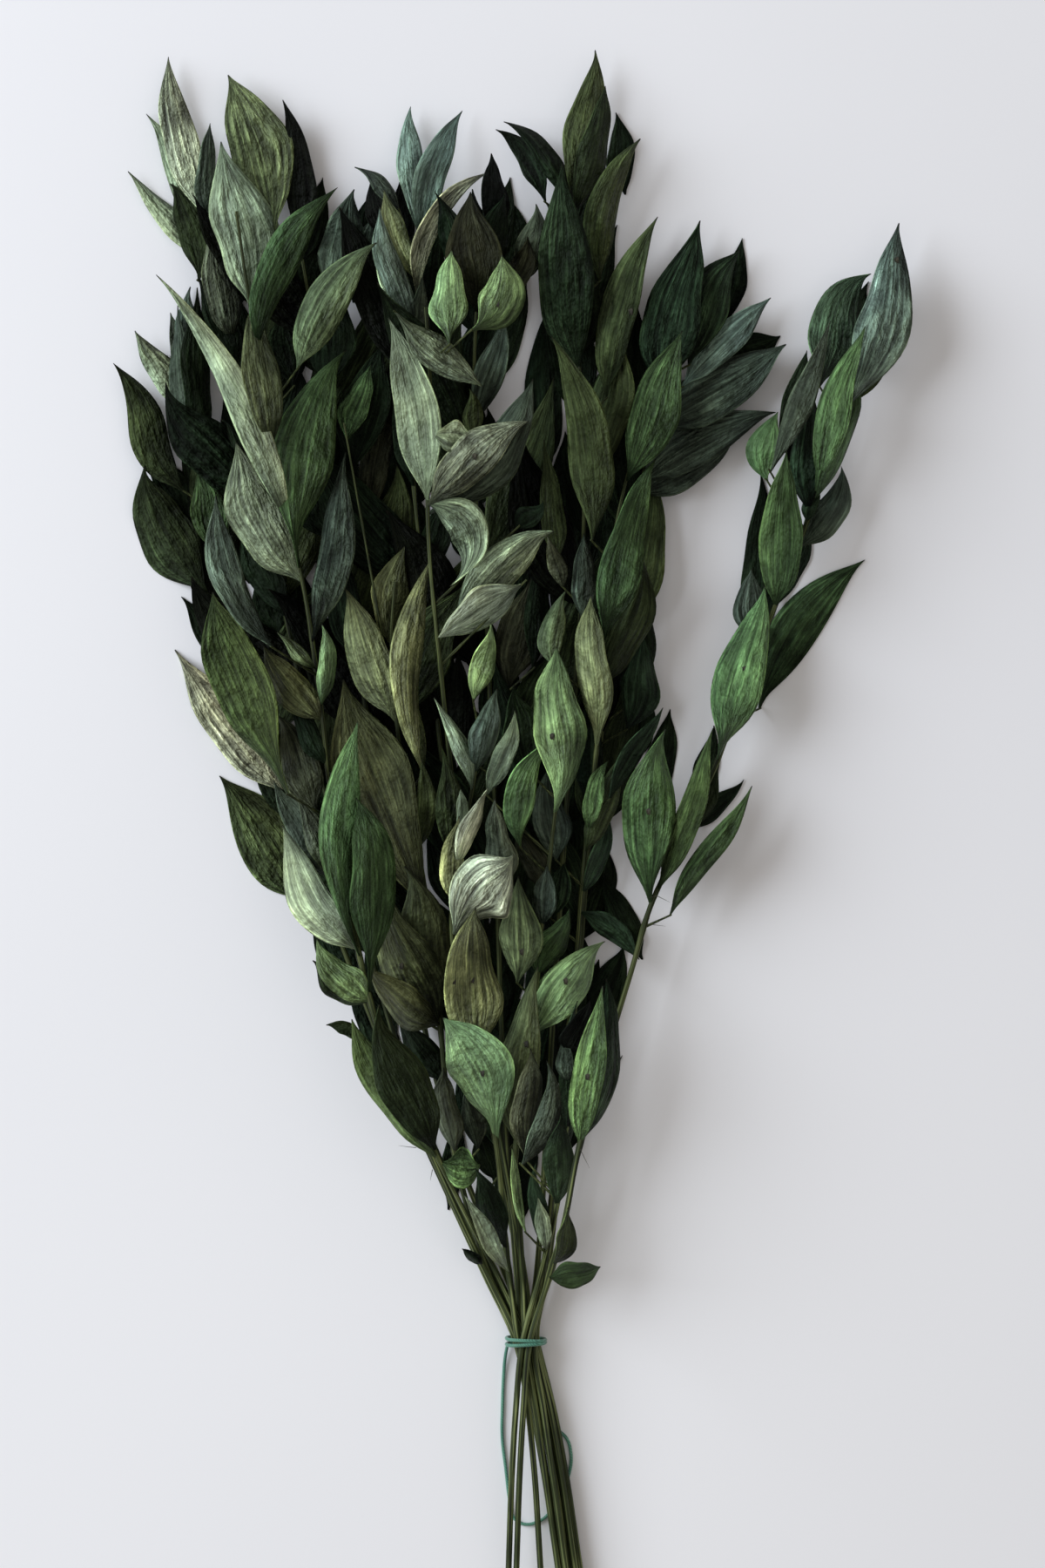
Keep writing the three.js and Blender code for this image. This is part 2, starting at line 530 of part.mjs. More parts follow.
// Offsets from the spine to a point across the blade: side 1 is the left edge, -1 the right edge.
function acrossBlade(station, left, side) {
  const angle = (station.roll * Math.PI) / 180;
  const reach = side * station.half;
  const lift = side > 0 ? side * station.left : -side * station.right;
  const out = reach * Math.cos(angle) - lift * Math.sin(angle);
  const up = reach * Math.sin(angle) + lift * Math.cos(angle);
  return [out * left[0], out * left[1], up];
}

// Calls visit(x, y, up, i, t, side) at points spread over the blade between stations i and i + 1, one
// in each cell of the pile or closer.
function overBlade(stations, visit) {
  const frames = stations.map((station, i) => leftOf(stations, i));
  for (let i = 0; i + 1 < stations.length; i++) {
    const from = stations[i];
    const to = stations[i + 1];
    const steps = Math.ceil(Math.hypot(to.x - from.x, to.y - from.y) / CELL);
    const across = Math.max(2, 2 * Math.ceil(Math.max(from.half, to.half) / CLOSE));
    for (let k = 0; k <= steps; k++) {
      for (let j = 0; j <= across; j++) {
        const t = k / steps;
        const side = (2 * j) / across - 1;
        const a = acrossBlade(from, frames[i], side);
        const b = acrossBlade(to, frames[i + 1], side);
        const x = mix(from.x + a[0], to.x + b[0], t);
        const y = mix(from.y + a[1], to.y + b[1], t);
        visit(x, y, mix(a[2], b[2], t), i, t, side);
      }
    }
  }
}

// The heights of a leaf's stations: the spine rises from its root and lies over everything below it.
function leafHeights(stations, stemZ, arch, flat) {
  const root = stations[0];
  if (flat) {
    const level = BLADE_THICKNESS / 2 - REST_SINK;
    return stations.map((station, i) => (i === 0 ? stemZ : level));
  }
  const heights = stations.map((station) => stemZ + arch * Math.sin(Math.PI * 0.75 * station.u));
  overBlade(stations, (x, y, up, i, t) => {
    if (Math.hypot(x - root.x, y - root.y) < ROOT_CLEAR) {
      return;
    }
    const needed = pileHeight(x, y) + GAP + BLADE_THICKNESS / 2 - up;
    if (i > 0) {
      heights[i] = Math.max(heights[i], needed);
    }
    heights[i + 1] = Math.max(heights[i + 1], needed);
  });
  easeHeights(heights, lengthsBetween(stations), BLADE_SLOPE, 0);
  return heights;
}

function pileUpLeaf(stations, heights) {
  overBlade(stations, (x, y, up, i, t, side) => {
    const thickness = (1 - Math.abs(side)) * BLADE_THICKNESS / 2;
    raisePile(x, y, mix(heights[i], heights[i + 1], t) + up + thickness);
  });
}

// A blade as a closed lens: at each station a left edge, a ridge above, a right edge and a keel below.
function bladeGeometry(stations, heights) {
  const positions = [];
  const last = stations.length - 1;
  stations.forEach((station, i) => {
    const z = heights[i];
    if (i === 0 || i === last) {
      positions.push(station.x, station.y, z);
      return;
    }
    const left = leftOf(stations, i);
    const leftEdge = acrossBlade(station, left, 1);
    const rightEdge = acrossBlade(station, left, -1);
    const angle = (station.roll * Math.PI) / 180;
    const out = (-BLADE_THICKNESS / 2) * Math.sin(angle);
    const up = (BLADE_THICKNESS / 2) * Math.cos(angle);
    positions.push(station.x + leftEdge[0], station.y + leftEdge[1], z + leftEdge[2]);
    positions.push(station.x + out * left[0], station.y + out * left[1], z + up);
    positions.push(station.x + rightEdge[0], station.y + rightEdge[1], z + rightEdge[2]);
    positions.push(station.x - out * left[0], station.y - out * left[1], z - up);
  });
  const geometry = new THREE.BufferGeometry();
  geometry.setAttribute("position", new THREE.BufferAttribute(new Float32Array(positions), 3));
  geometry.setIndex(bladeFaces(last));
  return geometry;
}

// Both faces of the blade are split into triangles the same way, so a twisted blade keeps its thickness.
function bladeFaces(last) {
  const faces = [];
  const tip = 4 * (last - 1) + 1;
  const ring = (i) => [1, 2, 3, 4].map((k) => 4 * (i - 1) + k);
  const [leftA, ridgeA, rightA, keelA] = ring(1);
  faces.push(0, ridgeA, leftA, 0, rightA, ridgeA, 0, keelA, rightA, 0, leftA, keelA);
  for (let i = 1; i < last - 1; i++) {
    const [left, ridge, right, keel] = ring(i);
    const [leftNext, ridgeNext, rightNext, keelNext] = ring(i + 1);
    faces.push(left, ridge, ridgeNext, left, ridgeNext, leftNext);
    faces.push(right, ridgeNext, ridge, right, rightNext, ridgeNext);
    faces.push(left, keelNext, keel, left, leftNext, keelNext);
    faces.push(right, keel, keelNext, right, keelNext, rightNext);
  }
  const [leftZ, ridgeZ, rightZ, keelZ] = ring(last - 1);
  faces.push(tip, leftZ, ridgeZ, tip, ridgeZ, rightZ, tip, rightZ, keelZ, tip, keelZ, leftZ);
  return faces;
}

// A curve that passes evenly from knot to knot, so that a tube with a step for each has its own knots.
class KnotCurve extends THREE.CatmullRomCurve3 {
  getUtoTmapping(u) {
    return u;
  }
}

function polygonShape(sides, radius) {
  const corners = [];
  for (let k = 0; k < sides; k++) {
    const angle = (2 * Math.PI * k) / sides;
    corners.push(new THREE.Vector2(radius * Math.cos(angle), radius * Math.sin(angle)));
  }
  return new THREE.Shape(corners);
}

function tubeGeometry(curve, sides, radius, steps) {
  return new THREE.ExtrudeGeometry(polygonShape(sides, radius), { extrudePath: curve, steps });
}

// Hidden leaves, on alternate sides of the stem.
function fillRows(spray, knots) {
  if (!spray.fill) {
    return [];
  }
  const [[from, to, step], [spreadLeft, spreadRight], length, width] = spray.fill;
  const rows = [];
  let side = 1;
  const top = Math.min(to, knots[knots.length - 1].y - 1);
  for (let y = from; y < top; y += step / 2) {
    const i = knots.findIndex((knot) => knot.y > y);
    const before = knots[i - 1];
    const after = knots[i];
    const stemAngle = Math.atan2(after.y - before.y, after.x - before.x);
    const spread = (side > 0 ? spreadLeft : -spreadRight) + draw(-8, 8);
    const angle = stemAngle + (spread * Math.PI) / 180;
    const x = mix(before.x, after.x, (y - before.y) / (after.y - before.y));
    const reach = length * draw(0.85, 1.1);
    const tipX = x + reach * Math.cos(angle);
    const tipY = y + reach * Math.sin(angle);
    rows.push([x, y, tipX, tipY, width * draw(0.8, 1.1), draw(-4, 4), draw(-12, 12)]);
    side = -side;
  }
  return rows;
}

// One spray: the leaves under the stem are laid first, then the stem, then the leaves over it.
function leafyStem(spray) {
  const knots = stemKnots(spray);
  const blades = [];
  const layLeaf = (row, arch, flat) => {
    const stations = leafStations(row, knots, flat);
    const stemZ = rootOn(knots, row[0], row[1]).point.z;
    const heights = leafHeights(stations, stemZ, arch, flat);
    pileUpLeaf(stations, heights);
    blades.push(bladeGeometry(stations, heights));
  };
  (spray.rest ?? []).forEach((row) => layLeaf(row, 0, true));
  fillRows(spray, knots).forEach((row) => layLeaf(row, -ROOM_BELOW, false));
  (spray.under ?? []).forEach((row) => layLeaf(row, -ROOM_BELOW, false));
  pileUpStem(knots);
  spray.over.forEach((row) => layLeaf(row, spray.arch, false));
  const stem = solidOf(tubeGeometry(new KnotCurve(knots), STEM_SIDES, STEM_RADIUS, knots.length - 1));
  const whole = wasm.Manifold.union([stem, ...blades.map(solidOf)]);
  return pressedFlat(whole);
}

// What would sink into the surface is pressed flat on it.
const GROUND_SIZE = 1400;
const GROUND_DEPTH = 100;
function pressedFlat(solid) {
  const ground = new THREE.BoxGeometry(GROUND_SIZE, GROUND_SIZE, GROUND_DEPTH);
  ground.translate(0, 0, -GROUND_DEPTH / 2);
  return solid.subtract(solidOf(ground));
}

// The elastic band round the neck: a ring with its flat side on the surface.
function tieBand() {
  const top = LAYER_BASE + TOP_LAYER * LAYER_RISE + STEM_RADIUS + TIE_ROOM;
  const outer = TIE_INNER_HALF + TIE_THICKNESS;
  const outline = ringOutline(outer, 0, top + TIE_THICKNESS, TIE_LOW_CORNER, TIE_HIGH_CORNER);
  outline.holes.push(ringOutline(TIE_INNER_HALF, TIE_THICKNESS, top,
    TIE_LOW_CORNER - TIE_THICKNESS, TIE_HIGH_CORNER - TIE_THICKNESS));
  const geometry = new THREE.ExtrudeGeometry(outline, {
    depth: TIE_WIDTH,
    bevelEnabled: false,
    curveSegments: TIE_SEGMENTS,
  });
  geometry.rotateX(Math.PI / 2);
  geometry.translate(0, TIE_WIDTH / 2, 0);
  return geometry;
}

function ringOutline(half, bottom, top, lowRadius, highRadius) {
  const outline = new THREE.Shape();
  outline.absarc(half - lowRadius, bottom + lowRadius, lowRadius, -Math.PI / 2, 0, false);
  outline.absarc(half - highRadius, top - highRadius, highRadius, 0, Math.PI / 2, false);
  outline.absarc(highRadius - half, top - highRadius, highRadius, Math.PI / 2, Math.PI, false);
  outline.absarc(lowRadius - half, bottom + lowRadius, lowRadius, Math.PI, 1.5 * Math.PI, false);
  return outline;
}

function tieLoop() {
  const points = LOOP_POINTS.map(([x, y, z]) => new THREE.Vector3(x, y, z));
  return tubeGeometry(new THREE.CatmullRomCurve3(points), LOOP_SIDES, LOOP_RADIUS, LOOP_STEPS);
}

const leafMaterial = new THREE.MeshStandardMaterial({ color: 0x4b5d3c, roughness: 0.55, metalness: 0 });
const elasticMaterial = new THREE.MeshStandardMaterial({ color: 0x3f8f82, roughness: 0.6, metalness: 0 });

function named(name, geometry, material) {
  const mesh = new THREE.Mesh(geometry, material);
  mesh.name = name;
  return mesh;
}

const bunch = new THREE.Group();
bunch.position.set(-ORIGIN_X, -ORIGIN_Y, 0);
SPRAYS.forEach((spray, i) => {
  const name = "leafy_stem_" + String(i + 1).padStart(2, "0");
  bunch.add(named(name, geometryOf(leafyStem(spray)), leafMaterial));
});
bunch.add(named("tie_band", tieBand(), elasticMaterial));
bunch.add(named("tie_loop", tieLoop(), elasticMaterial));

export default bunch;
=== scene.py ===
import math
import random

import bmesh
import bpy
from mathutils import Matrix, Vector


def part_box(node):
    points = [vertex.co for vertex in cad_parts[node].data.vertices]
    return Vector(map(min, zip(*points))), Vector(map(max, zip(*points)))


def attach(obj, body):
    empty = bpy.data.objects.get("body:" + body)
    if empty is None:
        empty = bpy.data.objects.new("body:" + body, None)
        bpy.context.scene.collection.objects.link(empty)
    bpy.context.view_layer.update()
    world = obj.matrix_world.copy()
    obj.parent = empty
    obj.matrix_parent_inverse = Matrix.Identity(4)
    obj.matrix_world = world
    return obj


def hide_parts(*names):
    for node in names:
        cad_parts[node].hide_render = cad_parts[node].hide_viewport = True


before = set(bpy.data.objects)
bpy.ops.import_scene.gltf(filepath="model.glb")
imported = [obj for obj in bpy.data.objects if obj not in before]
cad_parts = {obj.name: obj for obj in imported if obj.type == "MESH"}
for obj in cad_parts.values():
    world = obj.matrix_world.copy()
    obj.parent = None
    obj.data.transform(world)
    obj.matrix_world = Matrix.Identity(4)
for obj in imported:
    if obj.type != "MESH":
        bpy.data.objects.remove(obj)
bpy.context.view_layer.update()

# --- Camera --------------------------------------------------------------------------------------
# The bunch lies down, and the camera looks straight down on it from well above, with the leaf tips at
# the top of the picture. Places are given in millimetres from the middle of the tie.
MM = 0.001
tie_low, tie_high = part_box("tie_band")
tie_middle = (Vector(tie_low) + Vector(tie_high)) / 2


def at(x, y, z=0.0):
    """A place in millimetres from the middle of the tie, as a point of the part's frame in metres."""
    return Vector((tie_middle.x + x * MM, tie_middle.y + y * MM, z * MM))


VIEW_MIDDLE = (-1.6, 257.2)
VIEW_HEIGHT = 0.72  # how much of the bunch's length the picture takes in, at the leaves' level
LEAF_LEVEL = 25
CAMERA_ABOVE = 3.0
FILM_HEIGHT = 24

view_point = at(*VIEW_MIDDLE, LEAF_LEVEL)
bpy.ops.object.camera_add(location=(view_point.x, view_point.y, view_point.z + CAMERA_ABOVE))
camera = bpy.context.object
camera.data.sensor_fit = "VERTICAL"
camera.data.sensor_height = FILM_HEIGHT
camera.data.lens = FILM_HEIGHT * CAMERA_ABOVE / VIEW_HEIGHT
camera.data.clip_end = 20
bpy.context.scene.camera = camera
bpy.context.scene.view_settings.view_transform = "Standard"


# --- The elastic's free loop -----------------------------------------------------------------------
# The long end of the tie: a thin round teal elastic that leaves the band on the left, lies under the
# cut ends in one limp loop and goes back into the band. It is one curve along its real route.
def new_finish(name):
    """An empty material, its node tree and its shader."""
    material = bpy.data.materials.new(name)
    material.use_nodes = True
    tree = material.node_tree
    return material, tree, tree.nodes["Principled BSDF"]


def add_node(tree, kind, **settings):
    """A node of that kind, with its settings and, in inputs, the values of its sockets."""
    node = tree.nodes.new("ShaderNode" + kind)
    for socket, value in settings.pop("inputs", {}).items():
        node.inputs[socket].default_value = value
    for setting, value in settings.items():
        setattr(node, setting, value)
    return node


def colour(red, green, blue):
    """A colour as it looks on a screen, each part from 0 to 255, as the shader wants it."""
    parts = [part / 255 for part in (red, green, blue)]
    return (*[p / 12.92 if p <= 0.04045 else ((p + 0.055) / 1.055) ** 2.4 for p in parts], 1.0)


def ramp_of(tree, *stops):
    """A colour ramp with those stops, each a place and a colour."""
    ramp = tree.nodes.new("ShaderNodeValToRGB")
    while len(ramp.color_ramp.elements) < len(stops):
        ramp.color_ramp.elements.new(0.5)
    for element, (place, shade) in zip(ramp.color_ramp.elements, stops):
        element.position = place
        element.color = shade
    return ramp


def elastic_finish():
    """Thin round elastic under a tight braid: teal green, paler on the crests of the braid."""
    material, tree, shader = new_finish("braided_elastic")
    place = add_node(tree, "TexCoord")
    braid = add_node(tree, "TexWave", wave_type="BANDS", bands_direction="DIAGONAL",
                     inputs={"Scale": 520.0, "Distortion": 1.5, "Detail": 1.0, "Detail Scale": 2.0})
    tree.links.new(place.outputs["Object"], braid.inputs["Vector"])
    wear = add_node(tree, "TexNoise", inputs={"Scale": 60.0, "Detail": 3.0})
    tree.links.new(place.outputs["Object"], wear.inputs["Vector"])
    shade = add_node(tree, "Mix", data_type="FLOAT", inputs={"Factor": 0.6})
    tree.links.new(braid.outputs["Fac"], shade.inputs["A"])
    tree.links.new(wear.outputs["Fac"], shade.inputs["B"])
    ramp = ramp_of(tree, (0.25, colour(44, 96, 82)), (0.6, colour(80, 142, 120)),
                   (0.9, colour(132, 180, 156)))
    tree.links.new(shade.outputs["Result"], ramp.inputs["Fac"])
    tree.links.new(ramp.outputs["Color"], shader.inputs["Base Color"])
    bump = add_node(tree, "Bump", inputs={"Strength": 0.5, "Distance": 0.0001})
    tree.links.new(braid.outputs["Fac"], bump.inputs["Height"])
    tree.links.new(bump.outputs["Normal"], shader.inputs["Normal"])
    shader.inputs["Roughness"].default_value = 0.55
    shader.inputs["Sheen Weight"].default_value = 0.2
    return material


elastic = elastic_finish()

LOOP_THICKNESS = 1.5
LOOP_POINTS = [
    (-8.6, -2.3, 3), (-9.6, -8, 2), (-10.3, -16, 1.05), (-10.9, -31, 1.05), (-11, -45, 1.05),
    (-9.3, -60, 1.05), (-7.6, -74, 1.05), (-6.1, -81.6, 1.05), (-4.4, -83.6, 1.05),
    (-0.6, -85.4, 1.05), (5.4, -84.3, 1.05), (10.4, -80.8, 1.05), (16, -71, 1.05),
    (20.4, -60.2, 1.05), (20.5, -50.6, 1.05), (18.7, -45.5, 1.05), (15.2, -41.8, 1.05),
    (11, -32, 1.05), (8, -18, 1.05), (5, -2.3, 1.05),
]


def smooth_spline(curve, points, radii=None, closed=False):
    """Adds to a curve object a spline that passes smoothly through the points."""
    spline = curve.data.splines.new("BEZIER")
    spline.bezier_points.add(len(points) - 1)
    for i, (knot, point) in enumerate(zip(spline.bezier_points, points)):
        knot.co = point
        knot.handle_left_type = "AUTO"
        knot.handle_right_type = "AUTO"
        knot.radius = radii[i] if radii else 1.0
    spline.use_cyclic_u = closed
    return spline


def new_curve(name, thickness, sides):
    """A curve object without splines, with a round section of that thickness in millimetres."""
    bpy.ops.curve.primitive_bezier_curve_add()
    curve = bpy.context.object
    curve.name = name
    curve.data.splines.clear()
    curve.data.dimensions = "3D"
    curve.data.bevel_depth = thickness / 2 * MM
    curve.data.bevel_resolution = (sides - 4) // 2
    curve.data.use_fill_caps = True
    return curve


tie_loop = new_curve("elastic_loop", LOOP_THICKNESS, 12)
tie_loop.data.resolution_u = 8
loop_line = smooth_spline(tie_loop, [at(*point) for point in LOOP_POINTS])
tie_loop.data.materials.append(elastic)
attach(tie_loop, "root")
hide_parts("tie_loop")


# --- The elastic's turns ---------------------------------------------------------------------------
# The tie itself: turns of the same elastic drawn tight round the neck, side by side and slightly
# crossed, flat where the bunch presses them on the surface.
TURN_THICKNESS = 1.7
TURN_SHIFTS = [(-0.95, 0.5), (0.95, -0.4)]  # where along the neck a turn lies, and how far it slants
LOW_ROUNDING = 3.1
HIGH_ROUNDING = 6.6
PRESSED = 0.7  # of its thickness, from the surface to the middle of a turn
CORNER_STEP = 30


def ring_round_neck(along, slant):
    """The middle line of one turn, from the left round below the stems and back over them."""
    half = (tie_high[0] - tie_low[0]) / 2 / MM - TURN_THICKNESS / 2
    low = PRESSED * TURN_THICKNESS
    high = tie_high[2] / MM - TURN_THICKNESS / 2
    corners = [(half, low, LOW_ROUNDING, -90), (half, high, HIGH_ROUNDING, 0),
               (-half, high, HIGH_ROUNDING, 90), (-half, low, LOW_ROUNDING, 180)]
    points = []
    for x, z, radius, first in corners:
        middle_x = x - math.copysign(radius, x)
        middle_z = z + radius if z == low else z - radius
        for step in range(4):
            angle = math.radians(first + CORNER_STEP * step)
            over = middle_x + radius * math.cos(angle)
            points.append(at(over, along + slant * over / half, middle_z + radius * math.sin(angle)))
    return points


tie_turns = new_curve("elastic_turns", TURN_THICKNESS, 12)
tie_turns.data.resolution_u = 4
for along, slant in TURN_SHIFTS:
    smooth_spline(tie_turns, ring_round_neck(along, slant), closed=True)
tie_turns.data.materials.append(elastic)
bpy.ops.object.convert(target="MESH")
tie_turns = bpy.context.object
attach(tie_turns, "root")
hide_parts("tie_band")


# --- Floor and light -------------------------------------------------------------------------------
# A plain pale floor, a large soft light from the upper left, and an even, slightly warm light all
# round that keeps the shadows soft.
def floor_finish():
    """Matt pale paint, very slightly uneven."""
    material, tree, shader = new_finish("pale_floor")
    place = add_node(tree, "TexCoord")
    cloud = add_node(tree, "TexNoise", inputs={"Scale": 1.2, "Detail": 2.0})
    tree.links.new(place.outputs["Object"], cloud.inputs["Vector"])
    ramp = ramp_of(tree, (0.3, colour(232, 233, 238)), (0.7, colour(240, 241, 245)))
    tree.links.new(cloud.outputs["Fac"], ramp.inputs["Fac"])
    tree.links.new(ramp.outputs["Color"], shader.inputs["Base Color"])
    shader.inputs["Roughness"].default_value = 0.9
    shader.inputs["Specular IOR Level"].default_value = 0.2
    return material


FLOOR_SIZE = 8.0
bpy.ops.mesh.primitive_plane_add(size=FLOOR_SIZE, location=(0, 0, 0))
floor = bpy.context.object
floor.name = "floor"
floor.data.materials.append(floor_finish())


def soft_light(name, size, power, tint, place, aim):
    """A square area light at a place, turned towards a point, both in metres."""
    bpy.ops.object.light_add(type="AREA", location=place)
    light = bpy.context.object
    light.name = name
    light.data.size = size
    light.data.energy = power
    light.data.color = tint
    light.rotation_euler = (Vector(aim) - Vector(place)).to_track_quat("-Z", "Y").to_euler()
    return light


soft_light("window_light", 2.4, 108, (0.88, 0.94, 1.0), (-2.4, 0.9, 1.8), (0, 0, 0))
soft_light("overhead_light", 2.8, 9, (1.0, 0.99, 0.97), (0.2, 0.2, 2.9), (0, 0, 0))
world = bpy.data.worlds.new("studio")
bpy.context.scene.world = world
world.use_nodes = True
world.node_tree.nodes["Background"].inputs["Color"].default_value = (1.0, 0.92, 0.84, 1.0)
world.node_tree.nodes["Background"].inputs["Strength"].default_value = 0.36


# --- How the bunch lies ----------------------------------------------------------------------------
# The stems are laid one after another, and each leaf settles on what already lies below it. The pile
# is a height for each small square of the plan. All in millimetres.
CELL = 3
PILE_X = -210
PILE_Y = -140
PILE_COLUMNS = 145
PILE_ROWS = 262
pile = [0.0] * (PILE_COLUMNS * PILE_ROWS)


def cell_at(x, y):
    """The place in the pile of the square that holds a plan point."""
    return math.floor((y - PILE_Y) / CELL) * PILE_COLUMNS + math.floor((x - PILE_X) / CELL)


def raise_pile(x, y, z):
    """Raises the pile to a height in the squares round a point."""
    for side_x in (-CELL / 2, CELL / 2):
        for side_y in (-CELL / 2, CELL / 2):
            cell = cell_at(x + side_x, y + side_y)
            pile[cell] = max(pile[cell], z)


def around(x, y, reach):
    """The heights of the pile at nine places round a point."""
    sides = (-reach, 0, reach)
    return [pile[cell_at(x + side_x, y + side_y)] for side_x in sides for side_y in sides]


def mix(a, b, t):
    """A number the share t of the way from one to another."""
    return a + (b - a) * t


def mix_points(a, b, t):
    """A point the share t of the way from one to another."""
    return tuple(mix(p, q, t) for p, q in zip(a, b))


def lengths_between(points):
    """The lengths in the plan from each point to the next."""
    return [math.dist(a[:2], b[:2]) for a, b in zip(points, points[1:])]


def ease_heights(heights, lengths, slope, fixed):
    """Raises heights until no step is steeper than the slope; the first ones stay as they are."""
    for i in range(len(heights) - 2, fixed, -1):
        heights[i] = max(heights[i], heights[i + 1] - slope * lengths[i])
    for i in range(fixed + 1, len(heights)):
        heights[i] = max(heights[i], heights[i - 1] - slope * lengths[i - 1])


DRAW_FACTOR = 16807
DRAW_PERIOD = 2147483647
draw_seed = 11


def draw(low, high):
    """A repeatable draw, for the small differences between leaves."""
    global draw_seed
    draw_seed = (draw_seed * DRAW_FACTOR) % DRAW_PERIOD
    return low + (high - low) * (draw_seed / DRAW_PERIOD)


# --- Where the stems run ---------------------------------------------------------------------------
# Each stem is a cut branch, 2.5 to 3 mm thick, laid from its cut end through the neck to its top. In
# the neck the stems keep to their layers, and past it each lies on the ones below.
CUT_END_Y = -128
STEM_RADIUS = 1.4
KNOT_SPACING = 29
STEM_SLOPE = 0.4
STEM_SWATH = 2.2
SPAN_CHECKS = 8
SPAN_STEPS = 12
LAYER_BASE = 3.7
LAYER_RISE = 3.2
NECK_TOP_Y = 34
LEAF_ZONE_Y = 100
ROOM_BELOW = 2.5
ARCH_REACH = 200
LOWEST_END = STEM_RADIUS - 0.35
LOOP_CLEAR_Y = -90
GAP = 0.7


def stem_plan(path):
    """Evenly spaced plan points along a stem, with one right under the tie."""
    top_y = path[-1][1]
    below = int(-CUT_END_Y / KNOT_SPACING + 0.5)
    above = int(top_y / KNOT_SPACING + 0.5)
    points = []
    for k in range(-below, above + 1):
        y = -k * CUT_END_Y / below if k < 0 else k * top_y / above
        i = next((n for n, point in enumerate(path) if point[1] >= y), -1)
        i = min(len(path) - 1, max(1, i))
        (from_x, from_y), (to_x, to_y) = path[i - 1], path[i]
        points.append((mix(from_x, to_x, (y - from_y) / (to_y - from_y)), y))
    return points


def natural_height(spray, y):
    """How high a stem runs at a place along it, before it gives way to what lies below."""
    level = LAYER_BASE + LAYER_RISE * spray["layer"]
    if spray["layer"] == 0 and y < LOOP_CLEAR_Y:
        return mix(level, LOWEST_END, (LOOP_CLEAR_Y - y) / (LOOP_CLEAR_Y - CUT_END_Y))
    if y < NECK_TOP_Y:
        return level
    return level + spray["arch"] * min(1, (y - NECK_TOP_Y) / ARCH_REACH)


def stem_knots(spray):
    """The points that a stem bends at, with the height at which it passes over the pile."""
    points = stem_plan(spray["path"])
    heights = [natural_height(spray, y) for x, y in points]
    for i in range(len(points) - 1):
        for k in range(SPAN_CHECKS + 1):
            x, y = mix_points(points[i], points[i + 1], k / SPAN_CHECKS)
            if y > NECK_TOP_Y:
                room = STEM_RADIUS + GAP + (ROOM_BELOW if y > LEAF_ZONE_Y else 0)
                needed = max(around(x, y, STEM_SWATH)) + room
                if points[i][1] > NECK_TOP_Y:
                    heights[i] = max(heights[i], needed)
                heights[i + 1] = max(heights[i + 1], needed)
    fixed = sum(1 for x, y in points if y <= NECK_TOP_Y) - 1
    ease_heights(heights, lengths_between(points), STEM_SLOPE, fixed)
    return [(x, y, z) for (x, y), z in zip(points, heights)]


def pile_up_stem(knots):
    """Adds a stem to the pile."""
    for a, b in zip(knots, knots[1:]):
        for k in range(SPAN_STEPS + 1):
            x, y, z = mix_points(a, b, k / SPAN_STEPS)
            for side in (-STEM_RADIUS, 0, STEM_RADIUS):
                raise_pile(x + side, y, z + STEM_RADIUS)


# --- How a leaf lies -------------------------------------------------------------------------------
# A blade leaves its stem at a root, bends along its spine and settles with a roll that follows the
# pile. Its course is fixed at a few stations: plan point, half width, roll and the lift of its edges.
BROAD_STATIONS = [(0.16, 0.68), (0.38, 1.0), (0.62, 0.9), (0.84, 0.48)]
NARROW_STATIONS = [(0.2, 0.76), (0.5, 1.0), (0.8, 0.56)]
NARROW_WIDTH = 12.5
BLADE_ROOM = 1.2
BLADE_SLOPE = 0.8
TWIST = 12
FOLD = (-0.05, 0.09)
WAVE = (-0.06, 0.06)
STEEPEST_ROLL = 42
ROLL_KEPT = 0.6
LEAN_SHARE = 0.7
LEAN_REACH = 0.7
ROOT_CLEAR = 5
ROOT_STEPS = 10
ARCH_TURN = 0.75  # of a half wave, from a blade's root to its tip
REST_SINK = 0.45
PETIOLE_WIDTH = 1.8
PETIOLE_FROM = 8
PETIOLE_SLANT = 0.8
CLOSE = 2.5


def root_on(knots, x, y):
    """The point on a stem that a leaf with this base grows from, and how far off the base is."""
    nearest = math.inf
    for i in range(len(knots) - 1):
        for k in range(ROOT_STEPS):
            point = mix_points(knots[i], knots[i + 1], k / ROOT_STEPS)
            distance = math.dist(point[:2], (x, y))
            if distance < nearest:
                nearest = distance
                along = i + k / ROOT_STEPS
    along = max(0, along - PETIOLE_SLANT * nearest / KNOT_SPACING)
    i = min(len(knots) - 2, math.floor(along))
    return mix_points(knots[i], knots[i + 1], along - i), nearest


def bent(start, middle, end, u):
    """A point on the bow from start to end that the middle point pulls aside."""
    a, b, c = (1 - u) ** 2, 2 * u * (1 - u), u * u
    return tuple(a * p + b * q + c * r for p, q, r in zip(start, middle, end))


def lean_of_pile(x, y, left, half):
    """How the pile leans across a blade, in degrees."""
    reach = LEAN_REACH * half
    one = sum(around(x + reach * left[0], y + reach * left[1], CELL)) / 9
    other = sum(around(x - reach * left[0], y - reach * left[1], CELL)) / 9
    return LEAN_SHARE * math.degrees(math.atan2(one - other, 2 * reach))


